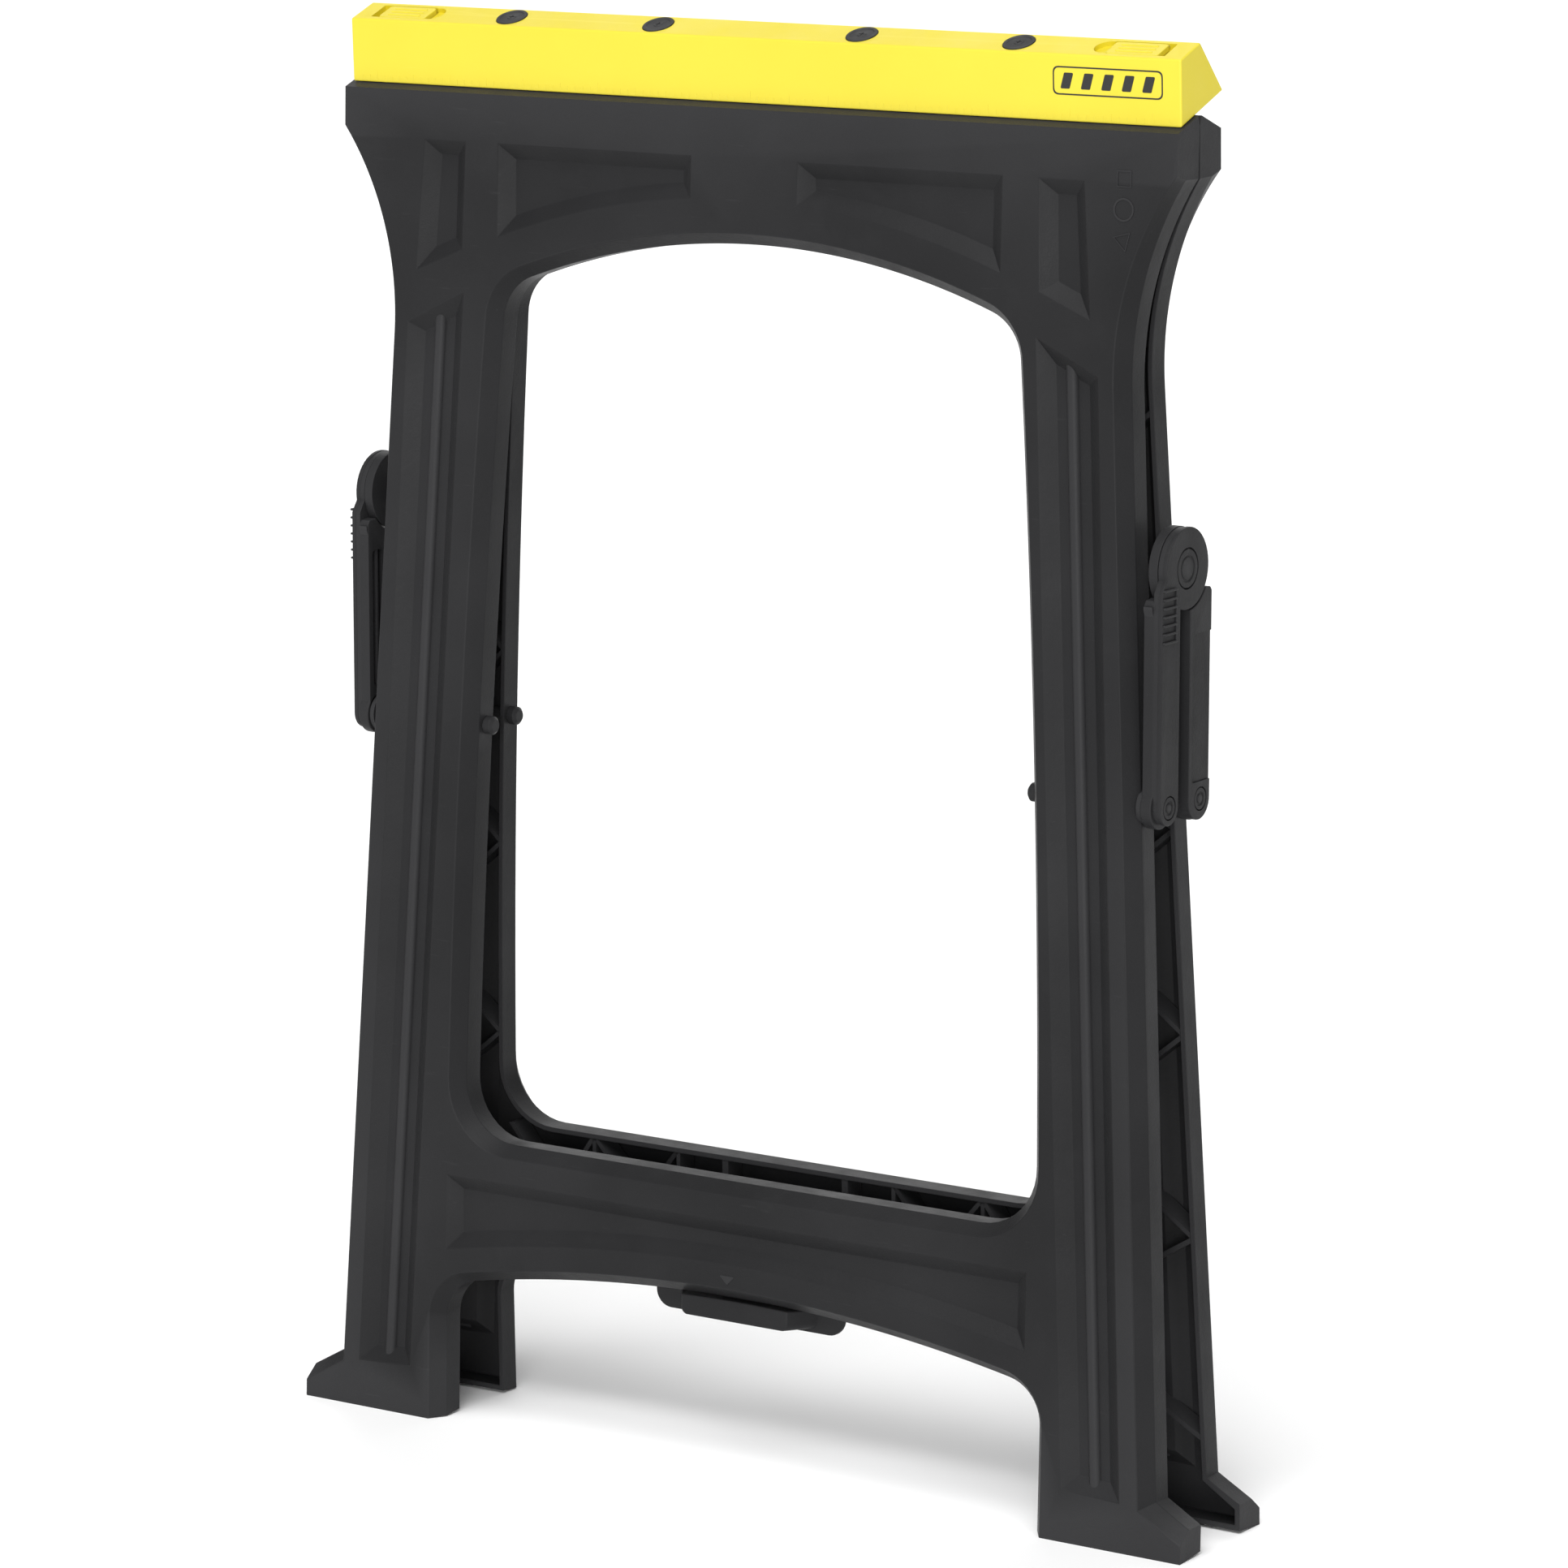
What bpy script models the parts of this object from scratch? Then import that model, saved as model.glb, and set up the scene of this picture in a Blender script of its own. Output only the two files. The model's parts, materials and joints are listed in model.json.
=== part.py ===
"""Folding sawhorse: two moulded leg panels, a work beam, folding side braces and a latch.

Metres, +Z up. The origin is on the ground below the middle of the folded sawhorse. X runs along
the beam and +Y points from the front panel to the rear panel. Each leg panel is drawn upright in
its own frame, hung from the hinge axis: x along the axis, depth forward of the parting plane and
drop below the axis. The rear panel is the same moulding turned half round.
"""

import bmesh
import bpy
from math import asin, atan, atan2, cos, pi, radians, sin, sqrt, tan
from mathutils import Matrix, Vector

MM = 0.001

# Stance
FOLDED_LEAN = radians(1.6)        # each panel, folded and standing
OPEN_LEAN = radians(19.7)         # each panel, braces straight
SEAT_SLOPE = radians(22.8)        # of the beam's seat across the header
PARTING_GAP = 0.3 * MM            # between the two rims at the hinge
FIT_GAP = 0.3 * MM                # between pieces that rest on each other
HINGE_ABOVE_TOP = 1.5 * MM        # hinge axis above the datum at the top of the front face

# Leg panel moulding
PANEL_DEPTH = 22 * MM
WALL = 3 * MM
CHAMFER_WIDE = 6.5 * MM
CHAMFER_DEEP = 9 * MM
RIM_TRIM = 1.5 * MM               # moulded past the parting plane, then faced off
PANEL_TOP = 1.8 * MM              # drops below the datum at the front face
SOLE_DROP = 760 * MM
SOLE_RISE = radians(6.5)
HEADER_HALF = 268.4 * MM
HEADER_CORNER = 26 * MM
CORNER_LIFT = 0.4                 # the front outline leaves the header this share of its inset higher
WAIST_HALF = 239.4 * MM
WAIST_DROP = 128 * MM
POST_FLARE = 0.0537               # widening of the outer side per unit of drop
TOE_START = 731 * MM
TOE_LIFT = 0.6                    # the front outline meets the toe this share of its inset lower
TOE_HALF = 292 * MM
TOE_CORNER = 742.7 * MM
FOOT_INNER = 198 * MM
FOOT_FILLET = 24 * MM
UNDER_RADIUS = 944 * MM
UNDER_APEX = 659.7 * MM

# Window through each panel
WINDOW_SHIFT = 3.5 * MM
WINDOW_APEX = 75.1 * MM
WINDOW_ARCH = 435 * MM
WINDOW_HALF = 168.5 * MM          # at WINDOW_REFERENCE
WINDOW_REFERENCE = 140 * MM
WINDOW_FLARE = 0.049
WINDOW_BOW = 3.2 * MM
WINDOW_SILL = 593.7 * MM
WINDOW_TOP_FILLET = 28 * MM
WINDOW_LOW_FILLET = 34 * MM

# Sunk panels in the front face, corners as (x, drop) in mm
SINK_DEPTH = 6 * MM
SINK_SLOPE = 8.6 * MM
POST_SINK = ((185.5, 112), (224, 130.5), (253.8, 732.6), (217.5, 731))
SMALL_SINK = ((185, 28.6), (213, 28.6), (218.4, 101.5), (186.8, 88.4))
RIDGE_WIDE = 7 * MM
RIDGE_HIGH = 3 * MM
RIDGE_ROOT = 0.6 * MM             # below the floor of the sink
RIDGE_END = 3.5 * MM              # inside the sink's outline
BIG_SINK_INNER = 34.3 * MM
BIG_SINK_OUTER = 163 * MM
BIG_SINK_TOP = 28.6 * MM
BIG_SINK_MARGIN = 18.3 * MM       # from the window arch
SILL_SINK_HALF = 193 * MM
SILL_SINK_TOP = 614.6 * MM
SILL_SINK_MARGIN = 14 * MM        # from the underside arch

# Stiffening ribs inside the mouldings
RIB_THICK = 2.4 * MM
RIB_RIM_GAP = 0.8 * MM
RIB_REACH = PANEL_DEPTH - 7.5 * MM
POST_RIB_TOP = 150 * MM
POST_RIB_PITCH = 112 * MM
POST_RIB_COUNT = 5
SILL_RIB_START = 72 * MM
SILL_RIB_BAY = 58 * MM
HEADER_RIBS = (-230 * MM, -88 * MM, 88 * MM, 230 * MM)
LATCH_RIB_PLACE = 40 * MM
LATCH_RIB_THICK = 4 * MM

# Hinge
BARREL_RADIUS = 4.4 * MM
BARREL_LENGTH = 30 * MM
BARREL_GAP = 0.6 * MM
BARREL_ROOT = 10 * MM             # depth of the block that joins a barrel to its panel
ROD_RADIUS = 2 * MM
ROD_CLEARANCE = 0.35 * MM
ROD_END_GAP = 6 * MM
FRONT_BARRELS = (-205 * MM, -65 * MM, 65 * MM, 205 * MM)
REAR_BARRELS = (-135 * MM, 0, 135 * MM)

# Work beam
BEAM_HALF = 267 * MM
BEAM_TOP_WIDE = 21.6 * MM
BEAM_BASE_WIDE = 46.2 * MM
BEAM_TOP_START = 11.3 * MM        # from the front edge of the base
BEAM_HIGH = 33.4 * MM
BEAM_WALL = 2.8 * MM
BEAM_LEDGE = 5.7 * MM             # set back from the front face
BEAM_RIBS = (-190 * MM, -95 * MM, 0, 95 * MM, 190 * MM)
PAD_RADIUS = 8.8 * MM
PAD_PLACES = (-163.5 * MM, -65.7 * MM, 65.7 * MM, 163.5 * MM)
PAD_PROUD = 0.6 * MM
PAD_SUNK = 1.2 * MM
STOP_INNER = BEAM_HALF - 48 * MM
STOP_OUTER = BEAM_HALF - 16 * MM
STOP_SLIT = 4.5 * MM              # open slot beyond the outer end
STOP_WIDE = 14 * MM
STOP_THICK = 3.2 * MM
STOP_PIN_RADIUS = 1 * MM
STOP_PIN_REACH = 1.8 * MM         # into the beam on each side
FINGER_RADIUS = 7 * MM
FINGER_PLACE = 217 * MM
FINGER_DEEP = 2.6 * MM
SCREW_PLACES = (-178 * MM, -106 * MM, 106 * MM, 178 * MM)
SCREW_DEPTH = 11 * MM             # behind the parting plane
SCREW_RADIUS = 1.8 * MM
SCREW_LONG = 15 * MM
SCREW_HEAD_RADIUS = 3.6 * MM
SCREW_HEAD_THICK = 2.2 * MM
SCREW_BOSS_RADIUS = 4.6 * MM
BORE_GAP = 0.3 * MM

# Side braces
BRACE_DROP = 358 * MM             # of each lower pivot below the hinge axis
BRACE_INSET = 6.2 * MM            # of each lower pivot in front of the parting plane
BRACE_OUTER = 264.6 * MM
BRACE_THICK = 11.3 * MM
EYE_RADIUS = 22 * MM
EYE_CLEARANCE = 0.7 * MM
EYE_THICK = 5.5 * MM
ARM_OUTER_EDGE = 9.7 * MM         # from the lower pivot
FRONT_ARM_INNER_EDGE = 9.3 * MM
REAR_ARM_INNER_EDGE = 12.6 * MM
SHOULDER_DROP = 7 * MM            # top of the shoulder below the knuckle
SHOULDER_CHAMFER = 7 * MM
BOSS_RADIUS = 10.5 * MM
BOSS_GAP = 0.5 * MM
PIVOT_RADIUS = 4 * MM
PIVOT_CLEARANCE = 0.35 * MM
PIVOT_HEAD_RADIUS = 6 * MM
PIVOT_NUB_RADIUS = 5.2 * MM
PIVOT_NUB = 6.5 * MM
PIVOT_STUB_GAP = 0.4 * MM
HEAD_DEEP = 2.6 * MM
KNUCKLE_RADIUS = 5 * MM
KNUCKLE_HEAD_RADIUS = 10.7 * MM
KNUCKLE_INNER_RADIUS = 8 * MM
END_BOSS_RADIUS = 12 * MM
END_BOSS_THICK = 6.7 * MM
GRIP_PROUD = 1.8 * MM
GRIP_WIDE = 14 * MM               # from the front edge inward
GRIP_RIBS = 7
GRIP_PITCH = 4.7 * MM
GRIP_RIB_HIGH = 2.2 * MM
GRIP_START = 14 * MM              # first rib below the knuckle

# Latch below the lower crossbar
LATCH_HALF = 62.7 * MM
LATCH_LOW = 676 * MM
LATCH_BACK = 0.8 * MM             # gap behind the rim plane
LATCH_PLATE = 3 * MM
LATCH_CORNER = 10 * MM
LATCH_ARCH_GAP = 1.8 * MM
GRIP_FRONT_HALF = 35 * MM
GRIP_BACK_HALF = 46 * MM
GRIP_FRONT_DEPTH = 15 * MM
GRIP_LOW = 672.7 * MM
LATCH_PIVOT_DROP = 644 * MM
LATCH_PIVOT_DEPTH = 4.5 * MM
LATCH_HUB_RADIUS = 4.6 * MM
LATCH_HUB_HALF = 36.5 * MM
LATCH_PIN_RADIUS = 2 * MM
LATCH_PIN_HALF = 43 * MM
LATCH_LUG_HALF = 12 * MM
LATCH_LUG_BACK = 1.5 * MM
LATCH_LUG_FRONT = 7.5 * MM
LATCH_NOTCH_GAP = 3.5 * MM
HOOK_HALF = 9 * MM
HOOK_THICK = 5 * MM
HOOK_REACH = 41 * MM
HOOK_NOSE = 6 * MM
SPRING_WIRE = 0.6 * MM
SPRING_GAP = 0.9 * MM
SPRING_TURNS = 4
SPRING_PITCH = 2 * MM
SPRING_START = 16 * MM

FILLET_STEPS = 5
ARCH_STEPS = 12
SIDE_STEPS = 4
CIRCLE_STEPS = 20
SMALL_STEPS = 12

PARTS = "folding_sawhorse"
CUTTERS = "cutters"


# ---------------------------------------------------------------- scene and object helpers

def clear_scene():
    for obj in list(bpy.data.objects):
        bpy.data.objects.remove(obj, do_unlink=True)


def new_collection(name):
    found = bpy.data.collections.new(name)
    bpy.context.scene.collection.children.link(found)
    return found


def material(name, colour, roughness, metallic=0.0):
    found = bpy.data.materials.new(name)
    found.use_nodes = True
    shader = found.node_tree.nodes["Principled BSDF"]
    shader.inputs["Base Color"].default_value = (*colour, 1)
    shader.inputs["Roughness"].default_value = roughness
    shader.inputs["Metallic"].default_value = metallic
    return found


def add_object(name, bm, collection, parent=None, finish=None, smooth=35):
    """A finished bmesh as an object in the frame of its parent."""
    bmesh.ops.remove_doubles(bm, verts=bm.verts, dist=1e-6)
    bmesh.ops.recalc_face_normals(bm, faces=bm.faces)
    mesh = bpy.data.meshes.new(name)
    bm.to_mesh(mesh)
    bm.free()
    mesh.shade_smooth()
    mesh.set_sharp_from_angle(angle=radians(smooth))
    obj = bpy.data.objects.new(name, mesh)
    collection.objects.link(obj)
    if parent is not None:
        obj.parent = parent
    if finish is not None:
        mesh.materials.append(finish)
    return obj


def cutter(name, bm, parent=None):
    obj = add_object(name, bm, bpy.data.collections[CUTTERS], parent)
    obj.hide_render = True
    obj.display_type = "WIRE"
    return obj


def boolean(obj, other, operation, within=False):
    step = obj.modifiers.new(other.name, "BOOLEAN")
    step.operation = operation
    step.object = other
    step.solver = "EXACT"
    step.use_self = within
    return step


def frame_empty(name, matrix, parent=None):
    empty = bpy.data.objects.new(name, None)
    bpy.data.collections[PARTS].objects.link(empty)
    empty.empty_display_size = 0.03
    if parent is not None:
        empty.parent = parent
    empty.matrix_local = matrix
    return empty


# ---------------------------------------------------------------- bmesh helpers

def block(bm, low, high):
    """An upright box between two corners."""
    low, high = Vector(low), Vector(high)
    size = high - low
    place = Matrix.Translation((low + high) / 2) @ Matrix.Diagonal((*size, 1))
    return bmesh.ops.create_cube(bm, size=1, matrix=place)["verts"]


def rod_along_x(bm, x0, x1, radius, y=0.0, z=0.0, steps=CIRCLE_STEPS, end_radius=None):
    place = Matrix.Translation(((x0 + x1) / 2, y, z)) @ Matrix.Rotation(pi / 2, 4, "Y")
    return bmesh.ops.create_cone(
        bm, cap_ends=True, segments=steps, radius1=radius,
        radius2=radius if end_radius is None else end_radius, depth=abs(x1 - x0), matrix=place)


def prism_along_x(bm, outline, x0, x1):
    """A closed (y, z) outline pulled from x0 to x1."""
    face = bm.faces.new([bm.verts.new((x0, y, z)) for y, z in outline])
    pulled = bmesh.ops.extrude_face_region(bm, geom=[face])["geom"]
    moved = [item for item in pulled if isinstance(item, bmesh.types.BMVert)]
    bmesh.ops.translate(bm, verts=moved, vec=(x1 - x0, 0, 0))
    return moved


def closed_loop(bm, points):
    verts = [bm.verts.new(point) for point in points]
    return [bm.edges.new((verts[i - 1], verts[i])) for i in range(len(verts))]


def arc(cx, cy, radius, start, stop, steps):
    """Points on a circle from one angle to another, both ends included."""
    turns = [start + (stop - start) * i / steps for i in range(steps + 1)]
    return [(cx + radius * cos(a), cy + radius * sin(a)) for a in turns]


# ---------------------------------------------------------------- leg panel outlines (x, drop)

def outer_half(inset):
    """Right half of the panel outline from the header corner to the middle of the underside."""
    corner = HEADER_CORNER - CORNER_LIFT * inset
    waist = WAIST_HALF - inset
    wide, high = HEADER_HALF - waist, WAIST_DROP - corner
    radius = (wide ** 2 + high ** 2) / (2 * wide)
    middle = waist + radius
    flare = atan(POST_FLARE)
    start = atan2(-high, HEADER_HALF - middle) + 2 * pi
    points = arc(middle, WAIST_DROP, radius, start, pi - flare, ARCH_STEPS)
    toe = TOE_START + TOE_LIFT * inset
    x_end, drop_end = points[-1]
    points.append((x_end + POST_FLARE * (toe - drop_end), toe))
    toe_slope = (TOE_CORNER - TOE_START) / (TOE_HALF - points[-1][0] - inset)
    points.append((TOE_HALF, toe + toe_slope * (TOE_HALF - points[-1][0])))
    points.append((TOE_HALF, None))
    points.append((FOOT_INNER + inset, None))
    centre = UNDER_APEX + UNDER_RADIUS
    fillet_x = FOOT_INNER - FOOT_FILLET
    fillet_drop = centre - sqrt((UNDER_RADIUS - FOOT_FILLET) ** 2 - fillet_x ** 2)
    lean = atan2(fillet_x, centre - fillet_drop)
    points += arc(fillet_x, fillet_drop, FOOT_FILLET + inset, 0, lean - pi / 2, FILLET_STEPS)
    under = [lean * (1 - i / ARCH_STEPS) for i in range(1, ARCH_STEPS + 1)]
    points += [((UNDER_RADIUS + inset) * sin(a), centre - (UNDER_RADIUS + inset) * cos(a)) for a in under]
    return points


def outer_outline(inset, depth):
    """The whole closed outline at a depth, as (x, y, z) in the panel frame."""
    top = PANEL_TOP - (PANEL_DEPTH - depth) * tan(SEAT_SLOPE)
    sole = SOLE_DROP - (PANEL_DEPTH - depth) * tan(SOLE_RISE)
    half = outer_half(inset)
    right = [(HEADER_HALF, None)] + half
    left = [(-x, drop) for x, drop in reversed(right[:-1])]
    points = []
    for i, (x, drop) in enumerate(right + left):
        if i in (0, len(right) + len(left) - 1):
            drop = top
        elif drop is None:
            drop = sole
        points.append((x, -depth - PARTING_GAP / 2, -drop - HINGE_ABOVE_TOP))
    return points


def window_half(inset):
    """Right half of the window from the middle of the sill up its side to the top of the arch."""
    turned = sqrt(1 + WINDOW_FLARE ** 2)
    arch = WINDOW_APEX + WINDOW_ARCH

    def side_x(drop, radius):
        return WINDOW_HALF - radius * turned + WINDOW_FLARE * (drop - WINDOW_REFERENCE)

    low = WINDOW_SILL - WINDOW_LOW_FILLET
    low_x = side_x(low, WINDOW_LOW_FILLET)
    offset = side_x(0, WINDOW_TOP_FILLET)
    reach = WINDOW_ARCH - WINDOW_TOP_FILLET
    a = 1 + WINDOW_FLARE ** 2
    b = 2 * (offset * WINDOW_FLARE - arch)
    c = offset ** 2 + arch ** 2 - reach ** 2
    high = (-b - sqrt(b ** 2 - 4 * a * c)) / (2 * a)
    high_x = side_x(high, WINDOW_TOP_FILLET)
    flare = atan(WINDOW_FLARE)
    lean = atan2(high_x, arch - high)
    points = [(0, WINDOW_SILL + inset)]
    points += arc(low_x, low, WINDOW_LOW_FILLET + inset, pi / 2, -flare, FILLET_STEPS)
    high_arc = arc(high_x, high, WINDOW_TOP_FILLET + inset, -flare, lean - pi / 2, FILLET_STEPS)
    (x0, drop0), (x1, drop1) = points[-1], high_arc[0]
    for i in range(1, SIDE_STEPS):
        along = i / SIDE_STEPS
        bow = 4 * WINDOW_BOW * along * (1 - along)
        points.append((x0 + (x1 - x0) * along + bow, drop0 + (drop1 - drop0) * along))
    points += high_arc
    over = [lean * (1 - i / ARCH_STEPS) for i in range(1, ARCH_STEPS + 1)]
    points += [((WINDOW_ARCH + inset) * sin(t), arch - (WINDOW_ARCH + inset) * cos(t)) for t in over]
    return points


def window_outline(inset, depth):
    right = window_half(inset)
    left = [(-x, drop) for x, drop in reversed(right[1:-1])]
    y = -depth - PARTING_GAP / 2
    return [(x + WINDOW_SHIFT, y, -drop - HINGE_ABOVE_TOP) for x, drop in right + left]


def sink_outlines():
    """The closed (x, drop) outlines of the sunk panels in the front face."""
    found = []
    for corners in (POST_SINK, SMALL_SINK):
        right = [(x * MM, drop * MM) for x, drop in corners]
        found += [right, [(-x, drop) for x, drop in right]]
    arch = WINDOW_APEX + WINDOW_ARCH
    radius = WINDOW_ARCH + CHAMFER_WIDE + BIG_SINK_MARGIN
    steps = [BIG_SINK_OUTER + (BIG_SINK_INNER - BIG_SINK_OUTER) * i / 8 for i in range(9)]
    big = [(BIG_SINK_INNER, BIG_SINK_TOP), (BIG_SINK_OUTER, BIG_SINK_TOP)]
    big += [(x, arch - sqrt(radius ** 2 - x ** 2)) for x in steps]
    found += [big, [(-x, drop) for x, drop in big]]
    centre = UNDER_APEX + UNDER_RADIUS
    radius = UNDER_RADIUS + CHAMFER_WIDE + SILL_SINK_MARGIN
    steps = [SILL_SINK_HALF * (1 - i / ARCH_STEPS * 2) for i in range(ARCH_STEPS + 1)]
    sill = [(-SILL_SINK_HALF, SILL_SINK_TOP), (SILL_SINK_HALF, SILL_SINK_TOP)]
    sill += [(x, centre - sqrt(radius ** 2 - x ** 2)) for x in steps]
    found.append(sill)
    return found


# ---------------------------------------------------------------- leg panel solids

def panel_surface():
    """The outside of the moulding as an open surface: flanks, chamfers, front face and sinks."""
    bm = bmesh.new()
    levels = ((0, -RIM_TRIM), (0, PANEL_DEPTH - CHAMFER_DEEP), (CHAMFER_WIDE, PANEL_DEPTH))
    for outline in (outer_outline, window_outline):
        rings = [closed_loop(bm, outline(inset, depth)) for inset, depth in levels]
        for lower, upper in zip(rings, rings[1:]):
            bmesh.ops.bridge_loops(bm, edges=lower + upper)
    bm.edges.ensure_lookup_table()
    front = -PANEL_DEPTH - PARTING_GAP / 2
    rim = [edge for edge in bm.edges if all(abs(v.co.y - front) < 1e-6 for v in edge.verts)]
    sinks = []
    for outline in sink_outlines():
        edges = closed_loop(bm, [(x, front, -drop - HINGE_ABOVE_TOP) for x, drop in outline])
        sinks.append([edge.verts[0] for edge in edges])
        rim += edges
    bmesh.ops.triangle_fill(bm, use_beauty=True, use_dissolve=False, edges=rim)
    floors = [bm.faces.new(verts) for verts in sinks]
    bmesh.ops.recalc_face_normals(bm, faces=bm.faces)
    if floors[0].normal.y > 0:
        bmesh.ops.reverse_faces(bm, faces=bm.faces)
    for floor in floors:
        bmesh.ops.inset_region(bm, faces=[floor], thickness=SINK_SLOPE, depth=-SINK_DEPTH, use_even_offset=True)
    return bm


def post_ridges():
    """Half-round stiffeners down the middle of the two long sinks, running into their end slopes."""
    bm = bmesh.new()
    corners = [(x * MM, drop * MM) for x, drop in POST_SINK]
    top = Vector(corners[0]).lerp(Vector(corners[1]), 0.5) + Vector((0, RIDGE_END))
    low = Vector(corners[2]).lerp(Vector(corners[3]), 0.5) - Vector((0, RIDGE_END))
    run = low - top
    half = RIDGE_WIDE / 2
    floor = -(PANEL_DEPTH - SINK_DEPTH) - PARTING_GAP / 2
    crown = [(half * cos(a), floor - RIDGE_HIGH * sin(a)) for a in (i * pi / 8 for i in range(9))]
    outline = [(half, floor + RIDGE_ROOT)] + crown + [(-half, floor + RIDGE_ROOT)]
    for side in (-1, 1):
        starts = [bm.verts.new((x, y, 0)) for x, y in outline]
        pulled = bmesh.ops.extrude_face_region(bm, geom=[bm.faces.new(starts)])["geom"]
        ends = [item for item in pulled if isinstance(item, bmesh.types.BMVert)]
        bmesh.ops.translate(bm, verts=ends, vec=(0, 0, -run.length))
        place = (Matrix.Translation((side * top.x, 0, -top.y - HINGE_ABOVE_TOP))
                 @ Matrix.Rotation(-side * atan2(run.x, run.y), 4, "Y"))
        bmesh.ops.transform(bm, matrix=place, verts=starts + ends)
    return bm


def rib_block(bm, x, drop, length, turn, thick=RIB_THICK):
    """A rib across the channel, centred at x and drop, turned about the depth direction."""
    verts = block(bm, (-length / 2, -RIB_REACH - 1 * MM, -thick / 2), (length / 2, 0, thick / 2))
    place = Matrix.Translation((x, 0, -drop)) @ Matrix.Rotation(turn, 4, "Y")
    bmesh.ops.transform(bm, matrix=place, verts=verts)


def rib_lattice():
    """Ribs over the whole panel, trimmed later to the inside of the walls."""
    bm = bmesh.new()
    for side in (-1, 1):
        for i in range(POST_RIB_COUNT):
            drop = POST_RIB_TOP + (i + 0.5) * POST_RIB_PITCH
            middle = (WAIST_HALF + WINDOW_HALF) / 2 + POST_FLARE * (drop - WAIST_DROP)
            rib_block(bm, side * middle, drop, 120 * MM, side * (-1) ** i * atan(POST_RIB_PITCH / (70 * MM)))
        for i in range(2):
            x = SILL_RIB_START + SILL_RIB_BAY * (i + 0.5)
            middle = (WINDOW_SILL + UNDER_APEX) / 2 + x ** 2 / (4 * UNDER_RADIUS)
            slope = atan((UNDER_APEX - WINDOW_SILL) / SILL_RIB_BAY)
            for turn in (slope, -slope):
                rib_block(bm, side * x, middle, 110 * MM, turn)
        rib_block(bm, side * LATCH_RIB_PLACE, (WINDOW_SILL + UNDER_APEX) / 2, 100 * MM, pi / 2, LATCH_RIB_THICK)
    for x in HEADER_RIBS:
        rib_block(bm, x, WINDOW_APEX / 2, 150 * MM, pi / 2)
    return bm


def rib_core():
    """What the ribs may fill: the channel and half of its walls."""
    bm = bmesh.new()
    half_wall = WALL / 2
    near, far = RIB_RIM_GAP, RIB_REACH
    for outline in (outer_outline, window_outline):
        rings = []
        for depth in (near, far):
            extra = max(0, depth - (PANEL_DEPTH - CHAMFER_DEEP)) * CHAMFER_WIDE / CHAMFER_DEEP
            rings.append(closed_loop(bm, core_ring(outline, half_wall + extra, depth, half_wall)))
        bmesh.ops.bridge_loops(bm, edges=rings[0] + rings[1])
    for depth in (near, far):
        y = -depth - PARTING_GAP / 2
        rim = [edge for edge in bm.edges if all(abs(v.co.y - y) < 1e-6 for v in edge.verts)]
        bmesh.ops.triangle_fill(bm, use_beauty=True, edges=rim)
    return bm


def core_ring(outline, inset, depth, half_wall):
    """An outline drawn in by the inset, with its header, soles and toes drawn in by half a wall too."""
    points = []
    for x, y, z in outline(inset, depth):
        if outline is outer_outline:
            limit = HEADER_HALF if -z < WAIST_DROP else TOE_HALF
            x = max(-limit + half_wall, min(limit - half_wall, x))
            top = seat_height(depth) - 2 * half_wall
            sole = -HINGE_ABOVE_TOP - SOLE_DROP + (PANEL_DEPTH - depth) * tan(SOLE_RISE) + half_wall
            z = max(sole, min(top, z))
        points.append((x, y, z))
    return points


def rim_facing():
    """What is faced off each rim: all past the parting plane, and a wedge above the hinge axis."""
    bm = bmesh.new()
    slope = tan(OPEN_LEAN)
    high, far = 9 * MM, 8 * MM
    edge = -PARTING_GAP / 2
    low = -SOLE_DROP - 20 * MM
    outline = [(edge, low), (far, low), (far, high), (edge - slope * high, high), (edge, 0)]
    prism_along_x(bm, outline, -TOE_HALF - 5 * MM, TOE_HALF + 5 * MM)
    return bm


def barrel_notches(places):
    """Room for the other panel's barrels, open upward."""
    bm = bmesh.new()
    radius, half = BARREL_RADIUS + BARREL_GAP, BARREL_LENGTH / 2 + BARREL_GAP
    outline = arc(0, 0, radius, -pi, 0, SMALL_STEPS // 2) + [(radius, 12 * MM), (-radius, 12 * MM)]
    for x in places:
        prism_along_x(bm, outline, x - half, x + half)
    return bm


def barrel_tubes(places):
    bm = bmesh.new()
    for x in places:
        rod_along_x(bm, x - BARREL_LENGTH / 2, x + BARREL_LENGTH / 2, BARREL_RADIUS, steps=SMALL_STEPS + 4)
    return bm


def barrel_roots(places):
    """The blocks that join the barrels to the underside of the header's top wall."""
    bm = bmesh.new()
    half = BARREL_LENGTH / 2 - 0.2 * MM
    for x in places:
        block(bm, (x - half, -BARREL_ROOT, -BARREL_RADIUS + 0.3 * MM), (x + half, -0.4 * MM, 1.6 * MM))
    return bm


def seat_height(depth):
    """Height of the header's top over the hinge axis at a depth."""
    return (PANEL_DEPTH - depth) * tan(SEAT_SLOPE) - PANEL_TOP - HINGE_ABOVE_TOP


def post_outer(drop):
    """Half width of the panel's flank at a drop below the hinge axis."""
    x, low = outer_half(0)[ARCH_STEPS]
    return x + POST_FLARE * (drop - HINGE_ABOVE_TOP - low)


def window_side(drop):
    """Half width of the window at a drop below the hinge axis."""
    first = FILLET_STEPS + 1
    points = window_half(0)[first:first + SIDE_STEPS + 1]
    drop = drop - HINGE_ABOVE_TOP
    for (x0, d0), (x1, d1) in zip(points, points[1:]):
        if d1 <= drop <= d0:
            return x0 + (x1 - x0) * (drop - d0) / (d1 - d0)
    return points[0][0]


def pivot_y():
    return -PARTING_GAP / 2 - BRACE_INSET


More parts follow.
